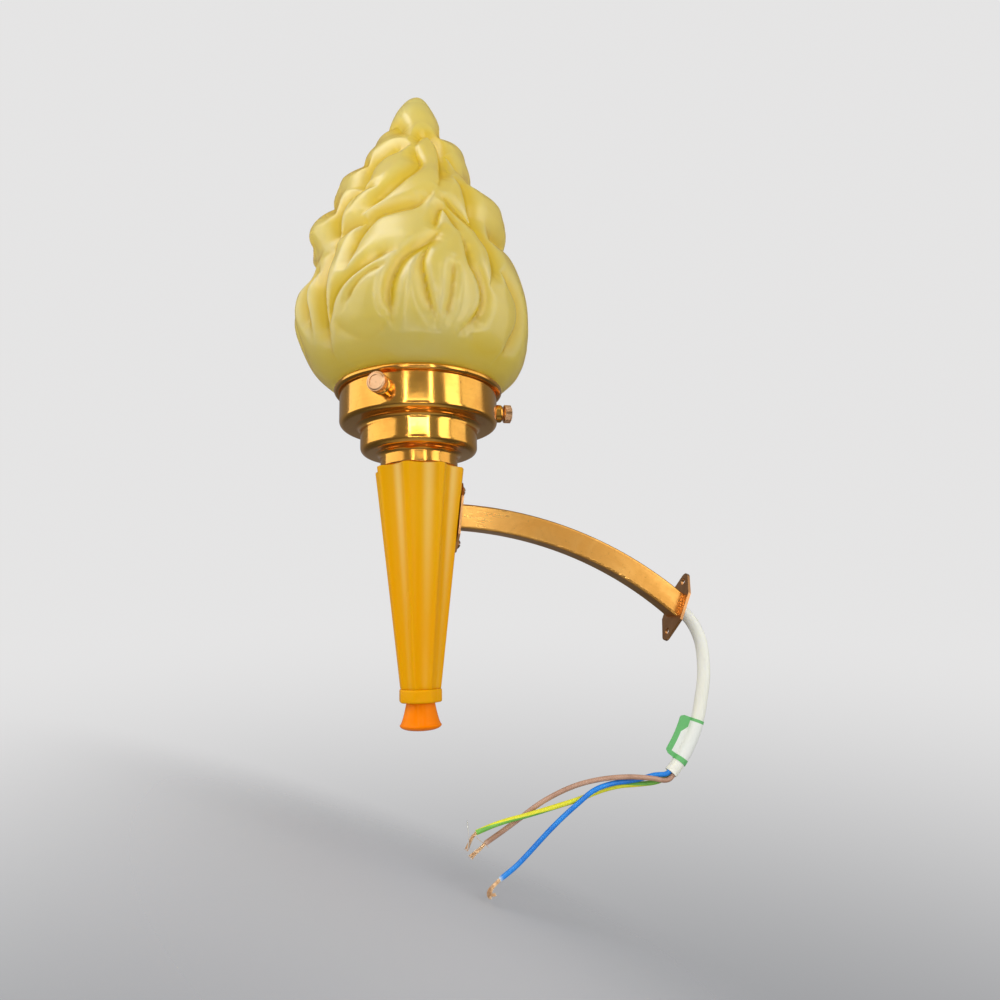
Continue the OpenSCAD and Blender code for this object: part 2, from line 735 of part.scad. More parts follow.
// Radius of the hollow: a plain wall below the bottom of the folds
function bore_r(angle, z) = bulb_r / drawn_r * (body_r(angle, z) - 5 * leaf_relief) - glass_wall;

flame_sides = 84;
flame_rows = 54;
bore_sides = 42;
bore_rows = 16;
neck_foot_z = floor_top_z + seat_gap;
// Height over the rim's centre at which the neck starts to flare
flare_z = 0.6;
// Drawn height at which the flame's hollow closes
bore_top_z = 163;

// Drawn heights of the rings, closer together towards the tip
function ring_z(u, top) = flame_outline[0][0] + (top - flame_outline[0][0]) * u * (1.25 - 0.25 * u);
outer_z = [for (k = [0:flame_rows - 1]) ring_z(k / flame_rows, drawn_h)];
bore_z = [for (k = [1:bore_rows]) ring_z(k / (bore_rows + 1), bore_top_z)];

// Ring of the glass's plain neck
function neck_ring_at(r, z, sides) =
    [for (k = [0:sides - 1]) let (a = turn * k / sides) [r * cos(a), r * sin(a), z]];

module flame_shade() {
    scale_z = flame_h / drawn_h;
    half_sides = flame_sides / 2;
    depths = [
        for (z = outer_z)
            [for (k = [0:half_sides - 1]) folds_at(wrap(turn * k / flame_sides - flame_zero), z)]
    ];
    outer = concat(
        neck_ring_at(neck_r, neck_foot_z, flame_sides),
        neck_ring_at(neck_r, flare_z, flame_sides),
        [for (i = [0:flame_rows - 1], k = [0:flame_sides - 1])
            let (a = turn * k / flame_sides,
                r = flame_r(wrap(a - flame_zero), outer_z[i], depths[i][k % half_sides]))
            [r * cos(a), r * sin(a), outer_z[i] * scale_z]]
    );
    bore = concat(
        neck_ring_at(neck_r - glass_wall, neck_foot_z, bore_sides),
        neck_ring_at(neck_r - glass_wall, flare_z, bore_sides),
        [for (z = bore_z, k = [0:bore_sides - 1])
            let (a = turn * k / bore_sides, r = bore_r(wrap(a - flame_zero), z))
            [r * cos(a), r * sin(a), z * scale_z]]
    );
    tip = len(outer);
    base = tip + 1;
    bore_tip = base + len(bore);
    last_row = (flame_rows + 1) * flame_sides;
    last_bore = base + (bore_rows + 1) * bore_sides;
    ratio = flame_sides / bore_sides;
    // Each patch of the outside is split along the diagonal that the folds run along
    outside = [
        for (i = [0:flame_rows], k = [0:flame_sides - 1])
            let (a = i * flame_sides + k, b = i * flame_sides + (k + 1) % flame_sides,
                c = a + flame_sides, d = b + flame_sides,
                rising = abs(norm([outer[a][0], outer[a][1]]) - norm([outer[d][0], outer[d][1]])),
                falling = abs(norm([outer[b][0], outer[b][1]]) - norm([outer[c][0], outer[c][1]])))
            each rising <= falling ? [[d, b, a], [c, d, a]] : [[c, b, a], [c, d, b]]
    ];
    color("khaki", 0.8) on_torch() polyhedron(
        concat(outer, [[0, 0, flame_h]], bore, [[0, 0, bore_top_z * scale_z]]),
        concat(
            outside,
            [for (k = [0:flame_sides - 1])
                [last_row + (k + 1) % flame_sides, last_row + k, tip]],
            [for (f = side_faces(0, bore_rows + 1, bore_sides)) f + base * [1, 1, 1]],
            [for (k = [0:bore_sides - 1])
                [last_bore + k, last_bore + (k + 1) % bore_sides, bore_tip]],
            [for (k = [0:flame_sides - 1])
                [k, (k + 1) % flame_sides, base + floor((k + 1) / ratio) % bore_sides]],
            [for (k = [0:bore_sides - 1])
                [k * ratio + ratio - 1, base + (k + 1) % bore_sides, base + k]]
        )
    );
}

// --- lamp holder ---

barrel_z = cap_z + holder_cap_h;
insulator_h = 5;
// Height of the insulator's rim, which lifts the shell clear of the contact
insulator_rim_h = 5.5;
insulator_rim_r = 12.6;
holder_wall = 1.6;
shell_t = 0.5;
shell_z = barrel_z + holder_h - socket_depth - 1;
disc_z = shell_z - insulator_rim_h - insulator_h;

// Domed cap that screws on the rod
module holder_cap() {
    color("black") on_torch() translate([0, 0, cap_z]) difference() {
        intersection() {
            cylinder(r = holder_r, h = holder_cap_h);
            translate([0, 0, holder_r]) sphere(holder_r * 1.12);
        }
        translate([0, 0, holder_wall]) intersection() {
            cylinder(r = holder_r - holder_wall, h = holder_cap_h + over);
            translate([0, 0, holder_r]) sphere(holder_r * 1.12 - holder_wall);
        }
        translate([0, 0, -over]) cylinder(r = rod_r + fit, h = holder_cap_h + 2 * over);
    }
}

module holder_barrel() {
    lip = 3;
    color("black") on_torch() translate([0, 0, barrel_z]) difference() {
        cylinder(r = holder_r, h = holder_h);
        translate([0, 0, -over]) cylinder(r = holder_r - holder_wall, h = holder_h - lip + over);
        cylinder(r = socket_r + shell_t + fit, h = holder_h + over);
    }
}

// Plain shell in place of the thread that takes the lamp's cap
module socket_shell() {
    color("gold") on_torch() translate([0, 0, shell_z]) tube_ring(
        socket_r + shell_t, socket_r, socket_depth
    );
}

// Insulator: a disc with the terminals and the contact, and a rim that carries the shell
module holder_insulator() {
    color("white") on_torch() translate([0, 0, disc_z]) difference() {
        cylinder(r = holder_r - holder_wall - fit, h = insulator_h + insulator_rim_h);
        translate([0, 0, insulator_h]) cylinder(r = insulator_rim_r, h = far);
        for (place = terminal_places) translate([place[0], place[1], -over])
            cylinder(r = terminal_r + fit, h = insulator_h + 2 * over);
    }
}

terminal_r = 2;
terminal_at = 9;
// Places of the brown, blue and earth terminals around the torch's axis
terminal_places = [[terminal_at, 0], [-terminal_at, 0], [0, terminal_at]];

// Sprung tongue that meets the lamp's centre contact
module centre_contact() {
    tongue_w = 6;
    tongue_t = 0.5;
    foot = 8;
    rise = 4;
    color("gold") on_torch() translate([0, tongue_w / 2, disc_z + insulator_h])
        rotate([90, 0, 0])
        linear_extrude(tongue_w) polygon([
            [-foot, 0], [-2, 0], [3, rise], [6, rise - 1], [6, rise - 1 + tongue_t],
            [3, rise + tongue_t], [-2.2, tongue_t], [-foot, tongue_t]
        ]);
}

module terminal_screws() {
    head_r = 3;
    head_h = 2;
    color("gold") on_torch() for (place = terminal_places)
        translate([place[0], place[1], disc_z]) {
            cylinder(r = terminal_r, h = insulator_h - over);
            translate([0, 0, -head_h]) cylinder(r = head_r, h = head_h);
        }
}

// --- cable inside the light ---

cable_sides = 10;
core_sides = 8;
cable_r = cable_d / 2;
core_r = core_d / 2;
// Ring on which the three cores lie inside the sheath and inside the rod
lay_r = core_r * 1.24;
// Radius of the bend by which the cores turn up into the rod
turn_r = 7;
// Distance from the torch's axis at which the sheath ends
sheath_end_x = 10;

// Places of the brown, blue and earth cores on their ring
core_angles = [90, 210, 330];

inner_path = concat(
    [[0, 0, 0]],
    [for (a = [wall_slope:-3:-torch_slope + 1]) arc_point(a)],
    [from_torch([plate_face_x, 0, plate_face_z]), from_torch([sheath_end_x, 0, entry_z])]
);

module inner_cable() {
    color("ivory") rope(inner_path, cable_r, cable_sides, [0, 1, 0] * -1,
        unit(from_torch([-1, 0, 0]) - from_torch([0, 0, 0])));
}

// Path of one core: out of the sheath, up through the rod, and on to its terminal
function inner_core_path(k) =
    let (
        up = lay_r * sin(core_angles[k]), side = lay_r * cos(core_angles[k]),
        bend = turn_r - up
    )
    concat(
        [[sheath_end_x, side, entry_z + up]],
        [for (a = [0:15:90]) [
            turn_r - bend * sin(a), side, entry_z + turn_r - bend * cos(a)
        ]],
        [[up, side, entry_z + 20], [up, side, -gallery_h], [up, side, rod_top_z + 1]],
        [[terminal_places[k][0], terminal_places[k][1], under_terminal - core_r]]
    );

module inner_core(k) {
    path = inner_core_path(k);
    rope([for (p = path) from_torch(p)], core_r, core_sides,
        unit(from_torch([-1, 0, 0]) - from_torch([0, 0, 0])),
        unit(from_torch(path[len(path) - 1]) - from_torch(path[len(path) - 2])));
}

under_terminal = disc_z - 2 - seat_gap;

module inner_core_brown() {
    color("peru") inner_core(0);
}

module inner_core_blue() {
    color("dodgerblue") inner_core(1);
}

module inner_core_earth() {
    color("yellowgreen") inner_core(2);
}

// --- free cable: its points are chosen along the run that the light is shown with ---

supply_route = [
    [0, 0, 0], [0, 5, -1.5], [0, 10, -4], [0, 14.5, -7.5], [0, 18.5, -12], [0, 21.5, -17],
    [0, 24, -22.5], [0, 26, -28], [0, 27.5, -34], [0, 28.5, -40], [0, 29.5, -46], [0, 30, -52],
    [0, 30, -58], [0, 29.5, -64], [0, 28.5, -70], [0, 27, -76], [0, 24.5, -82.5]
];
supply_end = supply_route[len(supply_route) - 1];
supply_heading = unit(supply_end - supply_route[len(supply_route) - 2]);

brown_route = [
    [0.9, 25.1, -84.4], [1, 24, -86], [1.2, 21.9, -87.2], [1.4, 19, -87.9], [1.6, 16, -88.3],
    [1.7, 10.5, -89.7], [1.6, 3.5, -91.8], [1.2, -3.5, -94.6], [0.6, -10, -97.8],
    [-0.1, -16, -101.3], [-0.9, -21.5, -105.2], [-1.6, -26.5, -109.5], [-2.2, -31, -114],
    [-2.8, -35, -118.5], [-3.2, -38.7, -123.3], [-3.4, -42.4, -128.7], [-3.4, -46.5, -134.3],
    [-3.2, -50.5, -139.5], [-3, -56, -146.5]
];
blue_route = [
    [0.7, 22.6, -83.2], [0.4, 21.3, -84.4], [-0.2, 19, -85.5], [-0.8, 16.4, -86.8],
    [-1.2, 14, -88.5], [-1.3, 11.5, -90.2], [-1.2, 7.5, -92.5], [-0.8, 2.5, -95],
    [-0.2, -2.5, -97.3], [0.6, -7, -99.8], [1.2, -11, -102.6], [1.6, -14.2, -105.7],
    [1.8, -16.6, -109.1], [1.8, -19, -113], [1.5, -22, -118], [1, -25, -123.5],
    [0.5, -28, -129.5], [0, -31, -136], [0, -34.5, -143.3], [0, -38.5, -151], [0, -43.8, -158.8]
];
earth_route = [
    [-1.7, 23.8, -84.6], [-1.9, 22.6, -86.6], [-2.1, 20.8, -88.5], [-2.3, 18, -90.4],
    [-2.5, 14, -92.4], [-2.6, 8, -95.1], [-2.6, 2, -97.7], [-2.4, -3.5, -100.7],
    [-2.1, -8, -103.6], [-1.8, -12, -106.6], [-1.5, -16, -109.8], [-1.3, -20.5, -113.1],
    [-1, -26, -116.8], [-0.7, -31.5, -120.5], [-0.4, -37.5, -124.5], [-0.4, -43.5, -128.5],
    [-0.4, -49.5, -132.3], [-0.4, -56, -137], [-0.4, -62.8, -142.8]
];
brown_tail = [[-3, -56, -146.5], [-3, -57.5, -149.5], [-3, -59.2, -152.2], [-3, -60.5, -155]];
blue_tail = [
    [0, -43.8, -158.8], [0, -45.3, -161.4], [0, -46.8, -164.3], [0, -46.6, -166.6],
    [0, -45, -168.2]
];
earth_tail = [
    [-0.4, -62.8, -142.8], [-0.4, -63.8, -145.3], [-0.4, -64.2, -148.4], [-0.4, -64.4, -152]
];

// Where core k leaves the sheath
function core_start(k) =
    let (b = cross(supply_heading, [1, 0, 0]), a = 240 - core_angles[k])
    supply_end + lay_r * (cos(a) * b + sin(a) * [1, 0, 0]);

module free_core(k, route) {
    path = concat([core_start(k)], route);
    top = len(path) - 1;
    rope(path, core_r, core_sides, supply_heading, unit(path[top] - path[top - 1]));
}

module supply_cable() {
    color("ivory") rope(supply_route, cable_r, cable_sides, [0, 1, 0], supply_heading);
}

module core_brown() {
    color("peru") free_core(0, brown_route);
}

module core_blue() {
    color("dodgerblue") free_core(1, blue_route);
}

module core_earth() {
    color("yellow") free_core(2, earth_route);
}

// Bare copper of one core, from the end of its insulation on
module bare_end(route, tail) {
    last = len(route) - 1;
    top = len(tail) - 1;
    rope(tail, copper_d / 2, core_sides, unit(route[last] - route[last - 1]),
        unit(tail[top] - tail[top - 1]));
}

module core_ends() {
    color("sandybrown") {
        bare_end(brown_route, brown_tail);
        bare_end(blue_route, blue_tail);
        bare_end(earth_route, earth_tail);
    }
}

// Blank label wrapped round the sheath, its two ends stuck together as a flat tab
module cable_label() {
    first = 11;
    last = 15;
    wrap_t = 0.25;
    tab_w = 6;
    tab_t = 0.5;
    path = [for (i = [first:last]) supply_route[i]];
    rings = last - first + 1;
    function rings_of(r) = [
        for (i = [0:rings - 1]) each ring_at(path[i], along(supply_route, first + i), r, cable_sides)
    ];
    n = cable_sides;
    shift = rings * n * [1, 1, 1];
    end = (rings - 1) * n;
    color("honeydew") union() {
        polyhedron(
            concat(rings_of(cable_r + fit + wrap_t), rings_of(cable_r + fit)),
            concat(
                [for (f = side_faces(0, rings - 1, n)) [f[2], f[1], f[0]]],
                [for (f = side_faces(0, rings - 1, n)) f + shift],
                [for (k = [0:n - 1]) let (m = (k + 1) % n) each [
                    [k, m, shift[0] + m], [k, shift[0] + m, shift[0] + k],
                    [end + m, end + k, end + shift[0] + k],
                    [end + m, end + shift[0] + k, end + shift[0] + m]
                ]]
            )
        );
        polyhedron(
            [for (i = [0:rings - 1])
                let (d = along(supply_route, first + i), out = cross(d, [1, 0, 0]))
                for (c = [[-1, 0], [1, 0], [1, 1], [-1, 1]])
                    path[i] + [c[0] * tab_t / 2, 0, 0]
                        + out * (cable_r + fit + wrap_t / 2 + c[1] * tab_w)],
            concat(
                [[0, 1, 2, 3]],
                [for (f = side_faces(0, rings - 1, 4)) [f[2], f[1], f[0]]],
                [[for (k = [3:-1:0]) 4 * (rings - 1) + k]]
            )
        );
    }
}

wall_plate();
arm_tube();
handle_plate();
handle_plate_screws();
handle();
handle_collar();
finial();
stem_rod();
stem_nut();
stem_washer();
neck_ring();
step_cup();
gallery();
screw_bosses();
thumb_screw(screw_angles[0]);  // thumb_screw_wall
thumb_screw(screw_angles[1]);  // thumb_screw_left
thumb_screw(screw_angles[2]);  // thumb_screw_right
flame_shade();
holder_cap();
holder_barrel();
socket_shell();
holder_insulator();
centre_contact();
terminal_screws();
inner_cable();
inner_core_brown();
inner_core_blue();
inner_core_earth();
supply_cable();
core_brown();
core_blue();
core_earth();
core_ends();
cable_label();
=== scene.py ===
import json
import math

import bpy
import numpy as np
from mathutils import Matrix, Vector

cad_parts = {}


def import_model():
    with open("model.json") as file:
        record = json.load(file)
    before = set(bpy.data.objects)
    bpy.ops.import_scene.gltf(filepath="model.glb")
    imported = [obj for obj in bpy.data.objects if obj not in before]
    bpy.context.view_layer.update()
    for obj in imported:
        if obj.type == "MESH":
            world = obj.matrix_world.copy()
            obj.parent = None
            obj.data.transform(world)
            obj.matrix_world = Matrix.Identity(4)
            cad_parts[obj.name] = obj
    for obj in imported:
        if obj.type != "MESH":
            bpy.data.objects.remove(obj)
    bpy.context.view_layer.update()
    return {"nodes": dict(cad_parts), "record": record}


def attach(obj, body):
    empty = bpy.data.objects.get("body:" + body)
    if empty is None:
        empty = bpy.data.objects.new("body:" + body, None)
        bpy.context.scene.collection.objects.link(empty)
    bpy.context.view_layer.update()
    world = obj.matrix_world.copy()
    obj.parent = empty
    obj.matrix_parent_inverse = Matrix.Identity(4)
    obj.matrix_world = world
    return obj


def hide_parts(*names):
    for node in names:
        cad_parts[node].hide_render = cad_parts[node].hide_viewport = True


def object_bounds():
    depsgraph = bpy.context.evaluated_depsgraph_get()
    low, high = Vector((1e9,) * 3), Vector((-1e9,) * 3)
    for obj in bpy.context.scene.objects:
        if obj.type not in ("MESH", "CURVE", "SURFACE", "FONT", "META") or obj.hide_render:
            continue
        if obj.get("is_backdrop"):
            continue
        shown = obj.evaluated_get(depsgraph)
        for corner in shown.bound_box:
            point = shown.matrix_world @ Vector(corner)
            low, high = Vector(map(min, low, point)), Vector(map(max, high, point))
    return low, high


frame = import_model()

# --- the torch's own axes: +X to the wall, +Z up the flame, the origin in the gallery's rim ---

MM = 0.001
LEAN = math.radians(23.25)
TORCH_AT = (0.0, -0.1746849514, 0.0499326908)
# Centre of the arm's arch, in metres
ARCH_Y, ARCH_Z = -0.060852, -0.193674


def from_torch(p):
    """Points in millimetres on the torch's axes, as metres in the frame of the whole light."""
    p = np.asarray(p, float)
    c, s = math.cos(LEAN), math.sin(LEAN)
    return np.stack([-p[..., 1], p[..., 0] * c - p[..., 2] * s, p[..., 0] * s + p[..., 2] * c],
                    -1) * MM + np.array(TORCH_AT)


# --- camera ---

CAMERA_AT = (0.3643, -0.1634, -0.0789)
VIEW = Vector((-0.9599, 0.1327, 0.2471)).normalized()
UP = Vector((0.176, -0.4011, 0.899))
RIGHT = VIEW.cross(UP).normalized()
UP = RIGHT.cross(VIEW).normalized()
CAMERA_SIDE = tuple(-VIEW)


def facing(position, right, up, back):
    """Placing of a camera or lamp, which look along their own -Z."""
    m = Matrix((right, up, back)).transposed().to_4x4()
    m.translation = position
    return m


camera_data = bpy.data.cameras.new("camera")
camera_data.sensor_fit = "HORIZONTAL"
camera_data.sensor_width = 36
camera_data.lens = 25.70
camera_data.clip_start = 0.01
camera = bpy.data.objects.new("camera", camera_data)
bpy.context.scene.collection.objects.link(camera)
camera.matrix_world = facing(Vector(CAMERA_AT), RIGHT, UP, -VIEW)
bpy.context.scene.camera = camera
bpy.context.scene.view_settings.view_transform = "Standard"


# --- node materials ---

class Nodes:
    """The node tree of a material or a world, with short calls for the nodes used here."""

    def __init__(self, owner, output):
        owner.use_nodes = True
        self.tree = owner.node_tree
        self.tree.nodes.clear()
        self.out = self.add(output)

    def add(self, kind, **settings):
        node = self.tree.nodes.new(kind)
        for key, value in settings.items():
            setattr(node, key, value)
        return node

    def link(self, a, b):
        self.tree.links.new(a, b)

    def put(self, socket, value):
        if isinstance(value, bpy.types.NodeSocket):
            self.link(value, socket)
        else:
            socket.default_value = value

    def place(self):
        return self.add("ShaderNodeTexCoord").outputs["Object"]

    def torch_place(self):
        node = self.add("ShaderNodeMapping", vector_type="TEXTURE")
        self.link(self.place(), node.inputs["Vector"])
        node.inputs["Location"].default_value = TORCH_AT
        node.inputs["Rotation"].default_value = (LEAN, 0, 0)
        return node.outputs["Vector"]

    def split(self, vector):
        node = self.add("ShaderNodeSeparateXYZ")
        self.link(vector, node.inputs[0])
        return node.outputs

    def join(self, x, y, z):
        node = self.add("ShaderNodeCombineXYZ")
        for socket, value in zip(node.inputs, (x, y, z)):
            self.put(socket, value)
        return node.outputs[0]

    def math(self, operation, *values):
        node = self.add("ShaderNodeMath", operation=operation)
        for socket, value in zip(node.inputs, values):
            self.put(socket, value)
        return node.outputs[0]

    def scaled(self, axes, factors):
        return self.join(*(self.math("MULTIPLY", a, b) for a, b in zip(axes, factors)))

    def radius(self, a, b):
        return self.math("SQRT", self.math("MULTIPLY_ADD", a, a, self.math("MULTIPLY", b, b)))

    def attribute(self, name):
        return self.add("ShaderNodeAttribute", attribute_name=name).outputs["Fac"]

    def noise(self, vector, scale, detail=3, roughness=0.55, distortion=0.0):
        node = self.add("ShaderNodeTexNoise")
        self.link(vector, node.inputs["Vector"])
        node.inputs["Scale"].default_value = scale
        node.inputs["Detail"].default_value = detail
        node.inputs["Roughness"].default_value = roughness
        node.inputs["Distortion"].default_value = distortion
        return node.outputs["Fac"]

    def spread(self, value, low, high, to_low=0.0, to_high=1.0):
        node = self.add("ShaderNodeMapRange", interpolation_type="SMOOTHSTEP")
        for key, number in (("From Min", low), ("From Max", high), ("To Min", to_low),
                            ("To Max", to_high)):
            node.inputs[key].default_value = number
        self.put(node.inputs["Value"], value)
        return node.outputs["Result"]

    def mix(self, factor, a, b):
        node = self.add("ShaderNodeMix", data_type="RGBA")
        self.put(node.inputs[0], factor)
        for socket, value in ((node.inputs[6], a), (node.inputs[7], b)):
            self.put(socket, value if isinstance(value, bpy.types.NodeSocket) else (*value, 1.0))
        return node.outputs[2]

    def bump(self, height, strength, distance, under=None):
        node = self.add("ShaderNodeBump")
        node.inputs["Strength"].default_value = strength
        node.inputs["Distance"].default_value = distance
        self.link(height, node.inputs["Height"])
        if under is not None:
            self.link(under, node.inputs["Normal"])
        return node.outputs["Normal"]

    def show(self, factor, a, b):
        """Let the output show the first shader at factor 0, and the second at 1."""
        node = self.add("ShaderNodeMixShader")
        for socket, value in zip(node.inputs, (factor, a, b)):
            self.link(value, socket)
        self.link(node.outputs[0], self.out.inputs["Surface"])


class Surface(Nodes):
    """A material with one Principled shader."""

    def __init__(self, name):
        self.material = bpy.data.materials.new(name)
        super().__init__(self.material, "ShaderNodeOutputMaterial")
        self.shader = self.add("ShaderNodeBsdfPrincipled")
        self.link(self.shader.outputs["BSDF"], self.out.inputs["Surface"])

    def set(self, **values):
        for key, value in values.items():
            self.put(self.shader.inputs[key.replace("_", " ")], value)


def metal(name, light, dark, rough, marks, marks_bump, tarnish):
    """Metal with fine marks along the field `marks`, patches of tarnish and specks."""
    n = Surface(name)
    place = n.place()
    line = n.noise(marks(n), 1.0, 4, 0.6)
    patch = n.spread(n.noise(place, 42, 4, 0.6, 0.6), 0.38, 0.68)
    speck = n.spread(n.noise(place, 620, 2, 0.5), 0.62, 0.76)
    shade = n.math("ADD", n.math("MULTIPLY", patch, tarnish), n.math("MULTIPLY", line, 0.35))
    colour = n.mix(n.math("MINIMUM", shade, 1.0), light, dark)
    colour = n.mix(n.math("MULTIPLY", speck, 0.35), colour, [c * 0.55 for c in dark])
    roughness = n.math("ADD", n.math("MULTIPLY", line, 0.10),
                       n.math("MULTIPLY_ADD", patch, 0.07, rough - 0.07))
    bump = n.bump(line, marks_bump, 0.0001)
    bump = n.bump(speck, 0.04, 0.00003, bump)
    n.set(Base_Color=colour, Metallic=1.0, Roughness=roughness, Normal=bump)
    return n.material


def turned(n):
    """Rings round the torch's axis."""
    x, y, z = n.split(n.torch_place())
    return n.scaled((n.radius(x, y), x, z), (2600, 6, 2600))


def along_arm(n):
    """Lines along the arch of the arm."""
    x, y, z = n.split(n.place())
    y, z = n.math("SUBTRACT", y, ARCH_Y), n.math("SUBTRACT", z, ARCH_Z)
    return n.scaled((x, n.math("ARCTAN2", y, z), n.radius(y, z)), (1500, 14, 1500))


def rolled(n):
    """Faint marks of rolled sheet, along Z."""
    return n.scaled(n.split(n.place()), (900, 900, 160))


def plastic(name, light, dark, rough, scale, bump, coat=0.0):
    """Moulded plastic or ceramic: a little cloudiness, and the skin's fine unevenness."""
    n = Surface(name)
    place = n.place()
    cloud = n.spread(n.noise(place, scale, 4, 0.6, 0.4), 0.3, 0.7)
    skin = n.noise(place, scale * 14, 2, 0.5)
    n.set(Base_Color=n.mix(cloud, light, dark),
          Roughness=n.math("MULTIPLY_ADD", skin, 0.12, rough - 0.06),
          Normal=n.bump(skin, bump, 0.00005), Coat_Weight=coat, Coat_Roughness=0.2)
    return n.material


def amber(name, pale, deep, low, high, gloss):
    """Cast amber plastic: streaks along the torch's axis, and colour that changes from `low` to
    `high` on it, with painted sheen: pale bands where the attribute `flute` is high, more at the
    top."""
    n = Surface(name)
    x, y, z = n.split(n.torch_place())
    streak = n.spread(n.noise(n.scaled((x, y, z), (90, 90, 9)), 1.0, 4, 0.55, 0.5), 0.36, 0.66)
    fine = n.noise(n.place(), 900, 2, 0.5)
    depth = n.spread(z, low, high)
    # Painted sheen: pale bands down the middle of the flutes, stronger towards the top, standing in
    # for reflections of the lamps
    painted_sheen = n.math("MULTIPLY", n.attribute("flute"), n.math("MULTIPLY_ADD", depth, 0.42, 0.08))
    colour = n.mix(n.math("MULTIPLY_ADD", streak, 0.3, n.math("MULTIPLY", depth, 0.5)),
                   deep, pale)
    colour = n.mix(painted_sheen, colour, (0.88, 0.66, 0.22))
    n.set(Base_Color=colour, Roughness=n.math("MULTIPLY_ADD", streak, 0.08, gloss),
          Subsurface_Weight=0.12, Subsurface_Radius=(0.006, 0.002, 0.0002),
          Subsurface_Scale=1.0, Normal=n.bump(fine, 0.05, 0.00004),
          Specular_IOR_Level=0.15, Specular_Tint=(1.0, 0.8, 0.4, 1.0))
    return n.material


# --- mesh helpers ---

def new_piece(name, points, faces, material, body, attributes=None):
    """Smooth mesh with sharp edges kept, in the scene and riding on a body of the CAD."""
    data = bpy.data.meshes.new(name)
    data.from_pydata([tuple(p) for p in points], [], [tuple(f) for f in faces])
    data.validate()
    for key, values in (attributes or {}).items():
        layer = data.attributes.new(key, "FLOAT", "POINT")
        layer.data.foreach_set("value", np.asarray(values, np.float32))
    data.shade_smooth()
    data.set_sharp_from_angle(angle=math.radians(35))
    piece = bpy.data.objects.new(name, data)
    bpy.context.scene.collection.objects.link(piece)
    data.materials.append(material)
    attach(piece, body)
    return piece


def unit(v):
    v = np.asarray(v, float)
    return v / np.maximum(np.linalg.norm(v, axis=-1, keepdims=True), 1e-12)


def smooth_line(points, steps=5):
    """Points of a curve through the given ones, `steps` to each run."""
    p = np.asarray(points, float)
    p = np.vstack([2 * p[0] - p[1], p, 2 * p[-1] - p[-2]])
    line = []
    for i in range(1, len(p) - 2):
        a, b, c, d = p[i - 1:i + 3]
        for t in np.arange(steps) / steps:
            line.append(0.5 * (2 * b + (c - a) * t + (2 * a - 5 * b + 4 * c - d) * t * t
                               + (3 * b - a - 3 * c + d) * t ** 3))
    return np.array(line + [p[-2]])


def circle(count):
    """Cosines and sines of evenly spaced turns."""
    turns = 2 * math.pi * np.arange(count) / count
    return np.cos(turns), np.sin(turns)


def band(low, high, count):
    """Faces between two rings of `count` points, each ring given by its first point."""
    k = np.arange(count)
    m = (k + 1) % count
    return np.stack([low + k, low + m, high + m, high + k], -1).tolist()


def rings_along(line, side=CAMERA_SIDE, first=None, last=None):
    """Directions along a line, and two directions across it, the first one kept near `side`."""
    d = unit(np.gradient(line, axis=0))
    if first is not None:
        d[0] = unit(first)
    if last is not None:
        d[-1] = unit(last)
    a = unit(side - (d @ np.asarray(side, float))[:, None] * d)
    return d, a, np.cross(d, a)


def run_of(line):
    """Distance along a line at each of its points."""
    return np.concatenate([[0], np.cumsum(np.linalg.norm(np.diff(line, axis=0), axis=1))])


def tube_mesh(line, radius, count, first=None, last=None):
    """Points and faces of a round tube along a line, with flat ends."""
    _, a, b = rings_along(line, first=first, last=last)
    c, s = circle(count)
    rings = line[:, None] + radius * (c[:, None] * a[:, None] + s[:, None] * b[:, None])
    faces = [face for i in range(len(line) - 1)
             for face in band(i * count, (i + 1) * count, count)]
    end = (len(line) - 1) * count
    faces += [tuple(range(count))[::-1], tuple(range(end, end + count))]
    return list(rings.reshape(-1, 3)), faces


# --- cords: sizes in metres, and the route points of the CAD solids in millimetres ---

SHEATH_D, CORE_D, COPPER_D, STRAND_R = 0.0068, 0.0025, 0.0017, 0.00012
# Distance of the three cores' centres from the sheath's axis
LAY_R = CORE_D / 2 * 1.24
# Turn from one strand to the next that fills a round bundle evenly, in radians
GOLDEN_TURN = 2.39996

SUPPLY = np.array([
    [0, 0, 0], [0, 5, -1.5], [0, 10, -4], [0, 14.5, -7.5], [0, 18.5, -12], [0, 21.5, -17],
    [0, 24, -22.5], [0, 26, -28], [0, 27.5, -34], [0, 28.5, -40], [0, 29.5, -46], [0, 30, -52],
    [0, 30, -58], [0, 29.5, -64], [0, 28.5, -70], [0, 27, -76], [0, 24.5, -82.5]]) * MM
BROWN = [
    [0.9, 25.1, -84.4], [1, 24, -86], [1.2, 21.9, -87.2], [1.4, 19, -87.9], [1.6, 16, -88.3],
    [1.7, 10.5, -89.7], [1.6, 3.5, -91.8], [1.2, -3.5, -94.6], [0.6, -10, -97.8],
    [-0.1, -16, -101.3], [-0.9, -21.5, -105.2], [-1.6, -26.5, -109.5], [-2.2, -31, -114],
    [-2.8, -35, -118.5], [-3.2, -38.7, -123.3], [-3.4, -42.4, -128.7], [-3.4, -46.5, -134.3],
    [-3.2, -50.5, -139.5], [-3, -56, -146.5]]
BLUE = [
    [0.7, 22.6, -83.2], [0.4, 21.3, -84.4], [-0.2, 19, -85.5], [-0.8, 16.4, -86.8],
    [-1.2, 14, -88.5], [-1.3, 11.5, -90.2], [-1.2, 7.5, -92.5], [-0.8, 2.5, -95],
    [-0.2, -2.5, -97.3], [0.6, -7, -99.8], [1.2, -11, -102.6], [1.6, -14.2, -105.7],
    [1.8, -16.6, -109.1], [1.8, -19, -113], [1.5, -22, -118], [1, -25, -123.5],
    [0.5, -28, -129.5], [0, -31, -136], [0, -34.5, -143.3], [0, -38.5, -151], [0, -43.8, -158.8]]
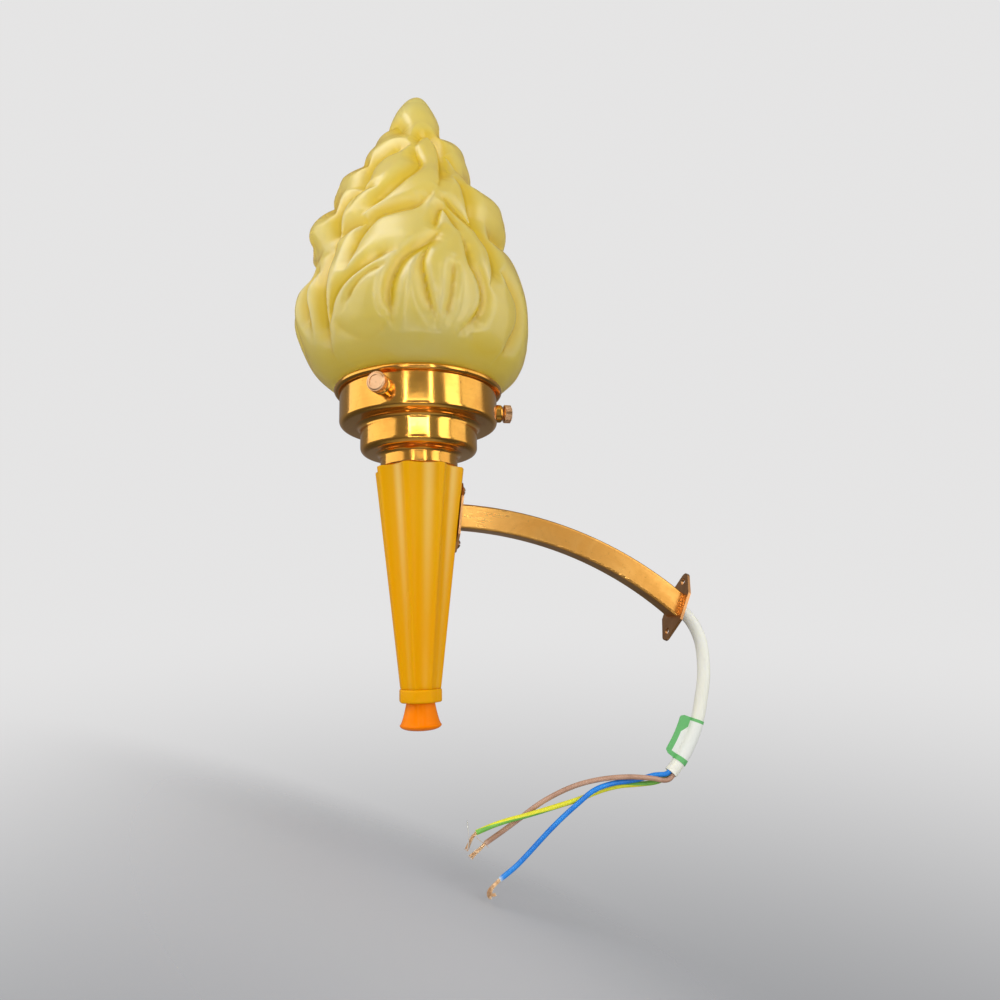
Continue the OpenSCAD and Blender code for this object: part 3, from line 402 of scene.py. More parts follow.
EARTH = [
    [-1.7, 23.8, -84.6], [-1.9, 22.6, -86.6], [-2.1, 20.8, -88.5], [-2.3, 18, -90.4],
    [-2.5, 14, -92.4], [-2.6, 8, -95.1], [-2.6, 2, -97.7], [-2.4, -3.5, -100.7],
    [-2.1, -8, -103.6], [-1.8, -12, -106.6], [-1.5, -16, -109.8], [-1.3, -20.5, -113.1],
    [-1, -26, -116.8], [-0.7, -31.5, -120.5], [-0.4, -37.5, -124.5], [-0.4, -43.5, -128.5],
    [-0.4, -49.5, -132.3], [-0.4, -56, -137], [-0.4, -62.8, -142.8]]
BROWN_TAIL = [[-3, -56, -146.5], [-3, -57.5, -149.5], [-3, -59.2, -152.2], [-3, -60.5, -155]]
BLUE_TAIL = [[0, -43.8, -158.8], [0, -45.3, -161.4], [0, -46.8, -164.3], [0, -46.6, -166.6],
             [0, -45, -168.2]]
BLUE_FOLD = [[0, -43.8, -158.8], [0.4, -45.2, -161.4], [0.6, -46.3, -164], [0.9, -46, -165.8],
             [0.9, -44.6, -166], [0.7, -43.4, -165.2]]
EARTH_TAIL = [[-0.4, -62.8, -142.8], [-0.4, -63.8, -145.3], [-0.4, -64.2, -148.4],
              [-0.4, -64.4, -152]]
PALE_STRAND = [[0.3, -64, -151], [0.6, -64.6, -149], [0.6, -65.7, -145.9], [0.4, -67.6, -142.3],
               [0.2, -69.3, -139.1]]
FINE_STRAND = [[0.3, -63, -143.6], [0.9, -61.9, -144.6], [0.6, -59.3, -145.6],
               [-0.6, -57.1, -146.3], [-0.6, -54.5, -147.2]]

SUPPLY_LINE = smooth_line(SUPPLY, 6)
HEADING = unit(SUPPLY[-1] - SUPPLY[-2])
# The part of SUPPLY_LINE that the label covers
LABEL_FROM, LABEL_TO = 66, 91


def core_start(angle):
    """Where a core leaves the sheath."""
    b, a = np.cross(HEADING, [1, 0, 0]), math.radians(240 - angle)
    return SUPPLY[-1] + LAY_R * (math.cos(a) * b + math.sin(a) * np.array([1, 0, 0]))


def sheath_material():
    """Pale outer plastic of the cable, a little cloudy and grimy."""
    n = Surface("sheath_cream")
    place = n.place()
    cloud = n.noise(place, 60, 3, 0.5)
    grime = n.spread(n.noise(place, 240, 4, 0.6), 0.6, 0.8)
    colour = n.mix(cloud, (0.92, 0.91, 0.80), (0.84, 0.83, 0.71))
    colour = n.mix(n.math("MULTIPLY", grime, 0.2), colour, (0.66, 0.63, 0.52))
    n.set(Base_Color=colour, Roughness=n.math("MULTIPLY_ADD", cloud, 0.15, 0.34),
          Normal=n.bump(n.noise(place, 700, 2), 0.12, 0.0001),
          Subsurface_Weight=0.1, Subsurface_Radius=(0.002, 0.002, 0.001))
    return n.material


def insulation(name, colour):
    """Soft plastic round a core; colour(n, place, cloud) gives its colour."""
    n = Surface(name)
    place = n.place()
    cloud = n.spread(n.noise(place, 130, 3, 0.5), 0.3, 0.7)
    n.set(Base_Color=colour(n, place, cloud),
          Roughness=n.math("MULTIPLY_ADD", cloud, 0.1, 0.32),
          Normal=n.bump(n.noise(place, 1500, 2), 0.1, 0.00005))
    return n.material


def plain_core(name, light, dark, cut):
    """Insulation of one colour, paler at its cut end, which the attribute `cut` places."""
    return insulation(name, lambda n, place, cloud: n.mix(n.attribute("cut"),
                                                          n.mix(cloud, light, dark), cut))


def earth_colour(n, place, cloud):
    """Yellow with one green stripe, which the attribute `stripe` places."""
    edge = n.math("MULTIPLY_ADD", n.noise(place, 900, 2), 0.12, n.attribute("stripe"))
    green = n.mix(cloud, (0.24, 0.58, 0.08), (0.16, 0.46, 0.06))
    yellow = n.mix(cloud, (0.88, 0.86, 0.04), (0.78, 0.74, 0.03))
    return n.mix(n.spread(edge, 0.50, 0.62), yellow, green)


def copper_material(name, light, dark):
    """Bare copper strands, bright or dulled in patches."""
    n = Surface(name)
    patch = n.spread(n.noise(n.place(), 900, 3), 0.35, 0.7)
    n.set(Base_Color=n.mix(patch, light, dark), Metallic=0.7,
          Roughness=n.math("MULTIPLY_ADD", patch, 0.15, 0.3))
    return n.material


sheath_cream = sheath_material()
core_brown = plain_core("core_brown", (0.56, 0.33, 0.22), (0.44, 0.24, 0.15),
                        (0.62, 0.40, 0.28))
core_blue = plain_core("core_blue", (0.015, 0.27, 0.82), (0.008, 0.19, 0.68),
                       (0.62, 0.74, 0.86))
core_earth = insulation("core_earth", earth_colour)
bare_copper = copper_material("bare_copper", (0.97, 0.70, 0.42), (0.78, 0.46, 0.22))


def sheath():
    """The free sheath: a round tube whose cut end is dished round the cores."""
    r, count = SHEATH_D / 2, 40
    points, faces = tube_mesh(SUPPLY_LINE, r, count, (0, 1, 0), HEADING)
    faces.pop()  # the dished end takes the place of the flat one
    _, a, b = rings_along(SUPPLY_LINE[-2:], first=HEADING, last=HEADING)
    c, s = circle(count)
    ring = c[:, None] * a[-1] + s[:, None] * b[-1]
    for share, depth in ((0.97, 0.0), (0.82, 0.0), (0.80, 0.0004), (0.3, 0.0004)):
        faces += band(len(points) - count, len(points), count)
        points += list(SUPPLY_LINE[-1] - HEADING * depth + r * share * ring)
    faces.append(tuple(range(len(points) - count, len(points))))
    piece = new_piece("sheath", points, faces, sheath_cream, "light")
    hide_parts("supply_cable")
    return piece


def core(name, node, route, angle, material):
    """One core's insulation, with the attribute that its material reads. Also gives its line."""
    count = 24
    line = smooth_line(np.vstack([core_start(angle), np.array(route) * MM]))
    points, faces = tube_mesh(line, CORE_D / 2, count, HEADING, unit(line[-1] - line[-2]))
    run = np.repeat(run_of(line), count)
    if node == "core_earth":
        turn = np.tile(2 * math.pi * np.arange(count) / count, len(line))
        centre = np.interp(run / run[-1], [0, 0.12, 0.35, 0.55, 0.7, 0.88, 1.0],
                           [0.0, 0.3, 2.6, 4.2, 5.2, 5.7, 6.7])
        attributes = {"stripe": np.cos(turn - centre)}
    else:
        attributes = {"cut": np.clip((run - run[-1] + 0.0009) / 0.0003, 0, 1)}
    piece = new_piece(name, points, faces, material, "light", attributes)
    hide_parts(node)
    return piece, line


def strands(name, tail, spread, bend, seed, count):
    """Bare strands of one core: a twisted bundle that opens towards its cut ends."""
    rng = np.random.default_rng(seed)
    tuck = 0.0012
    line = smooth_line(np.array(tail) * MM, 6)
    line = np.vstack([line[0] - unit(line[1] - line[0]) * tuck, line])
    _, a, b = rings_along(line)
    share = np.linspace(0, 1, len(line))
    points, faces = [], []
    for k in range(count):
        r = (COPPER_D / 2 - STRAND_R) * math.sqrt((k + 0.5) / count)
        turn = GOLDEN_TURN * k + 1.6 * share
        out = 1 + spread * share ** 2.2 * (0.4 + 0.9 * rng.random())
        lean = bend * share ** 2 * rng.normal(0, 1, 2)[:, None]
        path = line + (r * out * np.cos(turn) + lean[0])[:, None] * a \
            + (r * out * np.sin(turn) + lean[1])[:, None] * b
        keep = len(line) - rng.integers(0, 4)
        p, f = tube_mesh(path[:keep], STRAND_R, 6)
        faces += [tuple(i + len(points) for i in face) for face in f]
        points += p
    return new_piece(name, points, faces, bare_copper, "light")


def stray(name, route, radius, material):
    """One strand that stands out of a bundle."""
    points, faces = tube_mesh(smooth_line(np.array(route) * MM), radius, 10)
    return new_piece(name, points, faces, material, "light")


supply = sheath()
ends = {}
for name, tail, spread, bend, seed, count in (
        ("brown", BROWN_TAIL, 0.9, 0.00022, 3, 30), ("blue", BLUE_TAIL, 0.35, 0.00012, 5, 22),
        ("blue_fold", BLUE_FOLD, 0.1, 0.00010, 6, 12), ("earth", EARTH_TAIL, 0.2, 0.00008, 8, 26)):
    ends[name] = [strands(name + "_strands", tail, spread, bend, seed, count)]
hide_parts("core_ends")
ends["blue"] += ends.pop("blue_fold")
pale_copper = copper_material("pale_copper", (0.86, 0.84, 0.80), (0.70, 0.66, 0.60))
ends["earth"] += [stray("pale_strand", PALE_STRAND, 0.00026, pale_copper),
                  stray("fine_strand", FINE_STRAND, 0.00011, bare_copper)]


def label():
    """Blank label wrapped round the sheath: white with green bands, and a green flag."""
    n = Surface("label_white")
    along, across = n.attribute("along"), n.attribute("across")
    fibre = n.noise(n.place(), 1800, 3)
    white = n.mix(fibre, (0.88, 0.89, 0.82), (0.80, 0.81, 0.74))
    green = n.mix(fibre, (0.16, 0.55, 0.17), (0.12, 0.45, 0.13))
    bands = n.math("MAXIMUM", n.spread(along, 0.075, 0.060), n.spread(along, 0.885, 0.90))
    flag = n.spread(across, 0.50, 0.53)
    top = n.math("MULTIPLY", n.spread(across, 0.02, 0.06),
                 n.spread(n.math("MULTIPLY_ADD", across, -0.36, along), 0.22, 0.20))
    colour = n.mix(n.math("MAXIMUM", n.math("MAXIMUM", bands, flag), top), white, green)
    n.set(Base_Color=colour, Roughness=0.42, Normal=n.bump(fibre, 0.06, 0.00005))
    line = SUPPLY_LINE[LABEL_FROM:LABEL_TO]
    r, sheet, count = SHEATH_D / 2 + 0.0003, 0.00022, 40
    _, a, b = rings_along(line)
    c, s = circle(count)
    ring = c[:, None] * a[:, None] + s[:, None] * b[:, None]
    points = [p for radius in (r, r - sheet) for p in (line[:, None] + radius * ring)
              .reshape(-1, 3)]
    share = np.arange(len(line)) / (len(line) - 1)
    along_v, across_v = list(np.tile(np.repeat(share, count), 2)), [0] * len(points)
    rows = len(line) * count
    faces = band(rows, 0, count) + band(rows - count, 2 * rows - count, count)
    for p in range(0, rows - count, count):
        faces += band(p, p + count, count) + band(rows + p + count, rows + p, count)
    # Flag: both ends of the label stuck together, its free corners rounded
    out = -np.cross([1, 0, 0], rings_along(line, (1, 0, 0))[0])
    out = unit(np.where(out[:, 1:2] > 0, -out, out))
    wide, corner, steps = 0.0062, 0.0022, 8
    run = run_of(line)
    for i in range(len(line)):
        near = min(run[i], run[-1] - run[i])
        cut = corner - math.sqrt(max(corner ** 2 - max(corner - near, 0) ** 2, 0))
        for side in (-sheet, sheet):
            for s in range(steps + 1):
                reach = r - 0.0001 + (wide - cut) * s / steps
                points.append(line[i] + out[i] * reach + np.array([side, 0, 0]))
                along_v.append(share[i])
                across_v.append(s / steps * (wide - cut) / wide)
    base, row = 2 * rows, 2 * (steps + 1)
    for i in range(len(line) - 1):
        p, q = base + i * row, base + (i + 1) * row
        for s in range(steps):
            f = s + steps + 1
            faces += [(p + s, p + s + 1, q + s + 1, q + s), (q + f, q + f + 1, p + f + 1, p + f)]
        faces += [(p + steps, p + row - 1, q + row - 1, q + steps),
                  (q, q + steps + 1, p + steps + 1, p)]
    for i, flip in ((0, 1), (len(line) - 1, -1)):
        p = base + i * row
        for s in range(steps):
            faces.append((p + s, p + steps + 1 + s, p + steps + 2 + s, p + s + 1)[::flip])
    piece = new_piece("label", points, faces, n.material, "light",
                      {"along": along_v, "across": across_v})
    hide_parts("cable_label")
    return piece


tag = label()
for name, route, angle, material, length in (
        ("brown", BROWN, 90, core_brown, 0.1076), ("blue", BLUE, 210, core_blue, 0.1061),
        ("earth", EARTH, 330, core_earth, 0.1073)):
    piece, line = core("core_" + name + "_skin", "core_" + name, route, angle, material)

# --- flame shade, in millimetres on the torch's axes ---

FLAME_FOOT, FLAME_H, BORE_H = 3, 177, 163
NECK_FOOT, NECK_R, NECK_WALL = -18.0, 38.8, 3.0
# Azimuth of the side that faces the camera, from which the folds' angles are counted
FLAME_ZERO = -96
# Rows of the outline: height, and the radius in the middle, at the left and at the right
OUTLINE = np.array([
    [3, 44.5, 44.5, 44.5], [5, 48, 48, 47.5], [12, 55, 55.5, 54.5], [24, 60.5, 62, 59],
    [36, 62.5, 65.5, 60], [46, 62, 64, 59.5], [57, 59.5, 58, 57], [67, 56, 54.5, 53],
    [78, 53, 60, 46.5], [88, 51, 56.5, 49], [98, 47.5, 49, 48], [112, 39, 45, 31],
    [126, 32, 35, 30], [137, 26.5, 26, 27], [148, 20.5, 22.5, 17], [158, 16, 15.5, 12.5],
    [167, 11, 11, 8.5], [173, 6, 6, 5]], float)
# Folds between the leaves: depth, half width, the side of the leaf in front (1 is left of the
# line, -1 right, 0 neither), then the points of the line, [angle, height]
FOLDS = [
    [5, 9, -1, [[-36, 86], [-34, 98], [-35, 108], [-32, 115], [-27, 119], [-18, 122], [-8, 125]]],
    [5, 8, -1, [[-48, 62], [-46, 74], [-43, 84], [-38, 89], [-33, 91], [-27, 91]]],
    [5, 8, -1, [[-30, 75], [-16, 88], [-8, 96], [-2, 102], [2, 110], [-1, 118], [-2, 125]]],
    [6, 7, -1, [[-2, 125], [2, 132], [10, 136], [18, 133], [22, 126], [20, 114], [12, 93]]],
    [5, 7, 1, [[7, 85], [-1, 78], [-12, 75], [-22, 72], [-29, 64], [-32, 53], [-34, 42]]],
    [3.5, 7, -1, [[-47, 66], [-40, 69], [-32, 70], [-23, 70]]],
    [6, 9, 1, [[-48, 66], [-47, 50], [-47, 36], [-49, 22], [-51, 12]]],
    [5, 9, 0, [[-52, 50], [-60, 49], [-64, 43], [-64, 34], [-62, 24]]],
    [4.5, 7, 0, [[12, 65], [7, 58], [0, 52], [-6, 47], [-10, 40], [-13, 30], [-13, 17]]],
    [4, 7, 1, [[-8, 50], [-15, 49], [-26, 43], [-35, 37], [-42, 29], [-47, 18]]],
    [2.5, 6, 1, [[-13, 42], [-22, 40], [-29, 34], [-34, 26]]],
    [3.5, 6, 1, [[11, 61], [5, 53], [2, 44], [3, 35], [5, 26], [8, 18]]],
    [4, 7, -1, [[21, 64], [23, 56], [24, 47], [28, 39], [30, 31], [28, 23], [21, 15]]],
    [2.4, 5, 0, [[16, 47], [15, 36], [14, 26], [12, 17]]],
    [5, 8, -1, [[22, 103], [28, 96], [30, 86], [33, 70], [38, 60], [38, 50], [35, 40]]],
    [4.5, 8, -1, [[42, 50], [50, 43], [57, 35], [57, 24], [50, 9]]],
    [4, 7, 1, [[13, 86], [22, 79], [33, 73], [41, 68]]],
    [3.5, 6, -1, [[8, 62], [10, 71], [13, 78], [17, 73], [21, 64]]],
    [3.5, 6, -1, [[23, 101], [25, 112], [28, 122], [33, 118], [36, 108]]],
    [5, 9, 0, [[-110, 152], [-90, 150], [-60, 151], [-40, 148], [-22, 140], [-10, 135]]],
    [5, 10, 0, [[-62, 50], [-75, 58], [-90, 67], [-108, 70]]],
    [5, 10, 0, [[-46, 78], [-58, 90], [-72, 97], [-90, 99], [-108, 96]]],
    [4.5, 9, 0, [[-35, 110], [-55, 119], [-72, 126], [-90, 131], [-108, 130]]],
    [5, 9, 0, [[41, 68], [55, 74], [75, 78], [90, 79], [108, 74]]],
    [5, 9, 0, [[33, 100], [50, 105], [70, 110], [90, 113], [108, 108]]],
    [4.5, 8, 0, [[20, 134], [40, 142], [65, 148], [90, 151], [110, 148]]],
    [4, 9, 0, [[-84, 66], [-80, 50], [-82, 34], [-86, 18]]],
    [4, 9, 0, [[80, 78], [76, 60], [80, 42], [84, 22]]],
    [1.4, 9, 0, [[-44, 23], [-36, 14], [-26, 11], [-18, 14], [-13, 21]]],
    [1.4, 9, 0, [[24, 16], [33, 9], [43, 9], [50, 13]]]]


def smoothstep(x):
    x = np.clip(x, 0, 1)
    return x * x * (3 - 2 * x)


def wrap(a):
    """An angle in degrees, between half a turn back and forth."""
    return a - 360 * np.round(a / 360)


def outline_r(z, c):
    """Radius in a column of the outline: a smooth curve through its rows, and a round tip."""
    rows, r = OUTLINE[:, 0], OUTLINE[:, c]
    at = np.arange(len(rows))
    low, high = np.maximum(at - 1, 0), np.minimum(at + 1, len(rows) - 1)
    slope = (r[high] - r[low]) / (rows[high] - rows[low])
    i = np.clip(np.searchsorted(rows, z, "right") - 1, 0, len(rows) - 2)
    w = rows[i + 1] - rows[i]
    s = np.maximum(0, (np.minimum(z, rows[-1]) - rows[i]) / w)
    q = s * s * (3 - 2 * s)
    mid = r[i] * (1 - q) + r[i + 1] * q + w * (slope[i] * s * (1 - s) ** 2
                                              - slope[i + 1] * s * s * (1 - s))
    tip = r[-2] * np.sqrt(np.clip(1 - (z - rows[-2]) / (FLAME_H - rows[-2]), 0, 1))
    return np.where(z >= rows[-2], tip, mid)


def body_r(angle, z):
    """Radius of the flame without its folds."""
    side = np.sin(np.radians(angle))
    middle = outline_r(z, 1)
    return middle + (np.where(side < 0, outline_r(z, 2), outline_r(z, 3)) - middle) * side ** 2


def fold_depths(angle, z):
    """Depth of the deepest fold at each angle and height, and how close its line is."""
    deepest, nearest = np.zeros(angle.shape), np.zeros(angle.shape)
    levels = z[:, 0]
    for depth, width, front, line in FOLDS:
        line = smooth_line(line, 3)
        steps = np.hypot(np.diff(line[:, 0]) * 0.8, np.diff(line[:, 1]))
        start = np.concatenate([[0], np.cumsum(steps)])
        total, reach = start[-1], 2.1 * width
        for i in range(len(line) - 1):
            low, high = np.searchsorted(levels, [min(line[i:i + 2, 1]) - reach,
                                                 max(line[i:i + 2, 1]) + reach])
            rows = slice(low, high)
            k = math.pi / 180 * np.maximum(6, outline_r(z[rows], 1))
            for half in (0, 180):
                ax, ay = wrap(line[i, 0] - angle[rows] - half) * k, line[i, 1] - z[rows]
                bx, by = wrap(line[i + 1, 0] - angle[rows] - half) * k, line[i + 1, 1] - z[rows]
                dx, dy = bx - ax, by - ay
                t = np.clip(-(ax * dx + ay * dy) / np.maximum(dx * dx + dy * dy, 1e-9), 0, 1)
                gap = np.hypot(ax + t * dx, ay + t * dy)
                ok = (gap < reach) & (np.abs(dx) < 90 * k)
                at = start[i] + t * steps[i]
                fade = 0.35 + 0.65 * smoothstep(np.minimum(at, total - at) / (0.22 * total))
                # The leaf in front ends in a round edge, and the one behind it dips towards it
                side = front * np.tanh((dy * ax - dx * ay) / np.maximum(np.hypot(dx, dy), 1e-9)
                                       / 0.5)
                soft = np.clip(np.sqrt(gap ** 2 + 0.2) - 0.2, 0, None)
                round_edge = 1 - np.sqrt(1 - np.clip(1 - soft / (0.6 * width), 0, 1) ** 2)
                dip = np.clip(1 - soft / (1.35 * width), 0, 1) ** 1.5
                plain = np.clip(1 - soft / width, 0, 1) ** 1.7
                ahead, behind = np.maximum(side, 0), np.maximum(-side, 0)
                shape = ahead * round_edge + behind * dip + (1 - ahead - behind) * plain
                dome = 0.3 * np.clip(1 - soft / reach, 0, 1) ** 2
                d = np.where(ok, depth * fade * np.maximum(shape, 0.75 * shape + dome), 0)
                near = np.where(ok, fade * np.clip(1 - gap / 3.2, 0, 1) * min(1, depth / 4.5), 0)
                deepest[rows] = np.maximum(deepest[rows], d)
                nearest[rows] = np.maximum(nearest[rows], near)
    return deepest, nearest


def ridges(depth):
    """How far each spot stands out of its surroundings, from -1 in a crease to 1 on a ridge."""
    around = depth
    for _ in range(14):
        around = (np.roll(around, 1, 1) + 2 * around + np.roll(around, -1, 1)) / 4
        around = np.vstack([around[:1], (around[:-2] + 2 * around[1:-1] + around[2:]) / 4,
                            around[-1:]])
    return np.clip((around - depth) / 0.9, -1, 1)


def flame():
    """The glass flame: leaves outside, a smooth bore inside, and a neck that enters the gallery."""
    sides, rows, bore_rows = 440, 280, 60
    az = 360 * np.arange(sides) / sides
    c, s = np.cos(np.radians(az)), np.sin(np.radians(az))

    def levels(share, top):
        """Heights from the flame's foot to a top, closer together near the top."""
        return FLAME_FOOT + (top - FLAME_FOOT) * share * (1.25 - 0.25 * share)

    def ring(r, level):
        return np.stack([r * c, r * s, np.full(sides, float(level))], -1)

    z = levels(np.arange(rows) / rows, FLAME_H)
    angle, height = np.meshgrid(wrap(az - FLAME_ZERO), z)
    depth, near = fold_depths(angle, height)
    radius = body_r(angle, height) - depth * smoothstep((height - 2) / 14) \
        * smoothstep((FLAME_H - 5 - height) / 22)
    # The neck's foot is rounded, and its top runs into the flare
    outer = [ring(NECK_R + out, level) for out, level in (
        (-0.5, NECK_FOOT), (-0.15, NECK_FOOT + 0.15), (0, NECK_FOOT + 0.5), (0, -14), (0, -10),
        (0, -6), (0, -2), (0, 0), (0.3, 0.8), (1.5, 1.6), (3.3, 2.3))]
    lead = len(outer) * sides
    outer += [ring(radius[i], z[i]) for i in range(rows)]
    bore_r = NECK_R - NECK_WALL
    inner = [ring(bore_r + 0.5, NECK_FOOT), ring(bore_r, NECK_FOOT + 0.5), ring(bore_r, 0.6)]
    for level in levels(np.arange(1, bore_rows + 1) / (bore_rows + 1), BORE_H):
        body = body_r(wrap(az - FLAME_ZERO), np.full(sides, level))
        inner.append(ring(np.maximum(body - 8, 1.2), level))
    points = np.concatenate(outer + [[[0, 0, FLAME_H]]] + inner + [[[0, 0, BORE_H]]])
    # The crest sinks a little, to stay under the top of the solid
    points[:, 2] -= 0.7 * smoothstep((points[:, 2] - 150) / 27)

    tip, bore_tip, base = len(outer) * sides, len(points) - 1, len(outer) * sides + 1
    faces = band(base, 0, sides)
    for i in range(len(outer) - 1):
        faces += band(i * sides, (i + 1) * sides, sides)
    for i in range(len(inner) - 1):
        faces += band(base + (i + 1) * sides, base + i * sides, sides)
    for k in range(sides):
        m = (k + 1) % sides
        faces += [(tip - sides + k, tip - sides + m, tip),
                  (bore_tip - sides + m, bore_tip - sides + k, bore_tip)]
    attributes = {}
    # Fold depth, nearness to a fold line and ridges, which the glass material reads to place its
    # painted glow, painted highlight and painted shade
    for name, plain, values in (("crease", 0, near), ("hollow", 0, depth / 6),
                                ("ridge", 0.5, 0.5 + 0.5 * ridges(depth))):
        attributes[name] = np.full(len(points), float(plain))
        attributes[name][lead:tip] = values.reshape(-1)
    return new_piece("flame", from_torch(points), faces, flame_glass(), "shade",
                     attributes)


def flame_glass():
    """Frosted yellow glass: light comes through it, most in the thin folds. Its colour also
    holds painted light: glow in the folds, highlight on the ridges, shade beside them and at the
    edges.
    """
    n = Surface("flame_glass")
    x, y, z = n.split(n.torch_place())
    cloud = n.noise(n.torch_place(), 34, 4, 0.55, 0.8)
    frost = n.noise(n.place(), 2600, 2, 0.6)
    crease, hollow, ridge = (n.attribute(name) for name in ("crease", "hollow", "ridge"))
    up = n.spread(z, 0.0, 0.08)
    leaf = n.mix(up, (0.92, 0.82, 0.22), (0.96, 0.86, 0.30))
    leaf = n.mix(n.math("MULTIPLY", n.spread(cloud, 0.4, 0.7), 0.4), leaf, (0.96, 0.91, 0.50))
    # Painted glow: deeper yellow where the folds are deep, and bright yellow along the fold lines,
    # standing in for light coming through the glass
    colour = n.mix(n.spread(hollow, 0.04, 0.6, 0.0, 0.85), leaf, (0.92, 0.72, 0.05))
    colour = n.mix(n.spread(crease, 0.3, 1.0, 0.0, 0.7), colour, (0.98, 0.82, 0.03))
    # Painted shade in the creases, dark amber, and painted highlight on the ridges, pale
    colour = n.mix(n.spread(ridge, 0.40, 0.02, 0.0, 0.7), colour, (0.72, 0.52, 0.02))
    colour = n.mix(n.spread(ridge, 0.56, 0.95, 0.0, 0.8), colour, (0.97, 0.95, 0.72))
    # Painted shade at the edges: darker amber where the surface turns away from view
    away = n.add("ShaderNodeLayerWeight")
    away.inputs["Blend"].default_value = 0.35
    colour = n.mix(n.spread(away.outputs["Facing"], 0.5, 0.95, 0.0, 0.7), colour,
                   (0.88, 0.64, 0.08))
    normal = n.bump(frost, 0.10, 0.0001)
    n.set(Base_Color=colour, Roughness=n.math("MULTIPLY_ADD", frost, 0.12, 0.32),
          IOR=1.45, Transmission_Weight=0.6, Normal=normal, Coat_Weight=1.0,
          Coat_Roughness=0.24, Coat_IOR=1.65)
    through = n.add("ShaderNodeBsdfTranslucent")
    n.link(colour, through.inputs["Color"])
    n.link(normal, through.inputs["Normal"])
    n.show(n.spread(hollow, 0.0, 0.8, 0.36, 0.5), n.shader.outputs[0], through.outputs[0])
    return n.material


glass = flame()
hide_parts("flame_shade")

# --- turned pieces on the torch's axis, in millimetres ---


def arc(x, y, r, start, end, steps=12):
    """Points of an arc, from one angle to another."""
    a = np.radians(np.linspace(start, end, steps + 1))
    return np.stack([x + r * np.cos(a), y + r * np.sin(a)], -1).tolist()


def lathe(name, section, material, body, count=256):
    """Piece turned from a closed section of [radius, height] points."""
    section = np.array(section, float)
    c, s = circle(count)
    rings = np.stack([section[:, :1] * c, section[:, :1] * s,
                      np.repeat(section[:, 1:], count, 1)], -1)
    n = len(section)
    faces = [face for i in range(n) for face in band(i * count, (i + 1) % n * count, count)]
    return new_piece(name, from_torch(rings.reshape(-1, 3)), faces, material, body)


def stack(name, levels, radii, material, body, attributes=None):
    """Solid piece from rows of radii, one row to each level, with flat ends."""
    radii = np.asarray(radii, float)
    count = radii.shape[1]
    c, s = circle(count)
    rings = np.stack([radii * c, radii * s,
                      np.repeat(np.asarray(levels, float)[:, None], count, 1)], -1)
    points = rings.reshape(-1, 3).tolist() + [[0, 0, levels[0]], [0, 0, levels[-1]]]
    last, foot, top = (len(levels) - 1) * count, len(points) - 2, len(points) - 1
    faces = [face for i in range(len(levels) - 1)
             for face in band(i * count, (i + 1) * count, count)]
    faces += [((k + 1) % count, k, foot) for k in range(count)]
    faces += [(last + k, last + (k + 1) % count, top) for k in range(count)]
    return new_piece(name, from_torch(points), faces, material, body, attributes)


def from_side(azimuth, k):
    """Angles from the middle of one of eight sides, between half a turn back and forth."""
    return (azimuth - math.pi / 4 * k + math.pi) % (2 * math.pi) - math.pi


def soft_min(a, b, blend):
    """The smaller of two values, rounded over where they meet."""
    h = np.clip(0.5 + 0.5 * (b - a) / blend, 0, 1)
    return b * (1 - h) + a * h - blend * h * (1 - h)


HANDLE_TOP, HANDLE_FOOT, COLLAR_FOOT, FINIAL_FOOT = -41.5, -152.0, -158.4, -171.6
STEP_FOOT, GALLERY_FOOT, SHEET, COVE, ROD_HOLE = -33.5, -19.1, 0.8, 2.5, 5.05


def spun_section(r, foot, top, corner):
    """Section of a spun cup with a cove at its top."""
    return [[ROD_HOLE, foot]] + arc(r - corner, foot + corner, corner, -90, 0) \
        + arc(r + COVE, top - COVE - 0.2, COVE, 180, 90) \
        + [[r + COVE, top], [r - SHEET, top]] \
        + arc(r - corner, foot + corner, corner - SHEET, 0, -90) + [[ROD_HOLE, foot + SHEET]]


def gallery_section():
    """Section of the gallery: a spun cup with a rolled bead round its rim."""
    r, corner, rim, bead = 41.2, 2.7, 42.4, 1.6
    return [[ROD_HOLE, GALLERY_FOOT]] + arc(r - corner, GALLERY_FOOT + corner, corner, -90, 0) \
        + arc(rim, 0, bead, -138.6, 180, 28) + [[r - SHEET, 0]] \
        + arc(r - corner, GALLERY_FOOT + corner, corner - SHEET, 0, -90) \
        + [[ROD_HOLE, GALLERY_FOOT + SHEET]]


def handle(material):
    """Turned cone with a flat for the arm's plate and seven flutes, all edges softened."""
    # Radius at the foot and its growth to the top: of the cone, the flat and the flutes' bottoms
    cone, flat, hollow = (10.6, 13.0), (9.9, 12.5), (9.4, 11.0)
    cutter_r, soft, edge, edge_share = 15.0, 0.7, 0.45, 0.005
    azimuth = np.radians(np.arange(0, 360, 0.75))
    share = np.concatenate([[0, 0.002, 0.005], np.linspace(0.02, 0.98, 40), [0.995, 0.998, 1]])
    rows = []
    for s in share:
        r = np.full(len(azimuth), cone[0] + cone[1] * s)
        for k in range(8):
            turn = from_side(azimuth, k)
            if k == 0:
                cut = (flat[0] + flat[1] * s) / np.maximum(np.cos(turn), 0.2)
            else:
                d = hollow[0] + hollow[1] * s + cutter_r
                inside = cutter_r ** 2 - (d * np.sin(turn)) ** 2
                hit = (inside > 0) & (np.cos(turn) > 0)
                cut = np.where(hit, d * np.cos(turn) - np.sqrt(np.maximum(inside, 0)), 99)
            r = soft_min(r, cut, soft)
        rows.append(r - edge * (1 - min(1, min(s, 1 - s) / edge_share)) ** 2)
    # Mask of the painted sheen: pale bands down the middle of each flute
    flute = np.clip(np.cos(8 * (azimuth - 0.12)), 0, 1) ** 2
    piece = stack("handle_skin", HANDLE_FOOT + (HANDLE_TOP - HANDLE_FOOT) * share, rows,
                  material, "light",
                  {"flute": np.append(np.tile(flute, len(rows)), [0, 0])})
    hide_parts("handle")


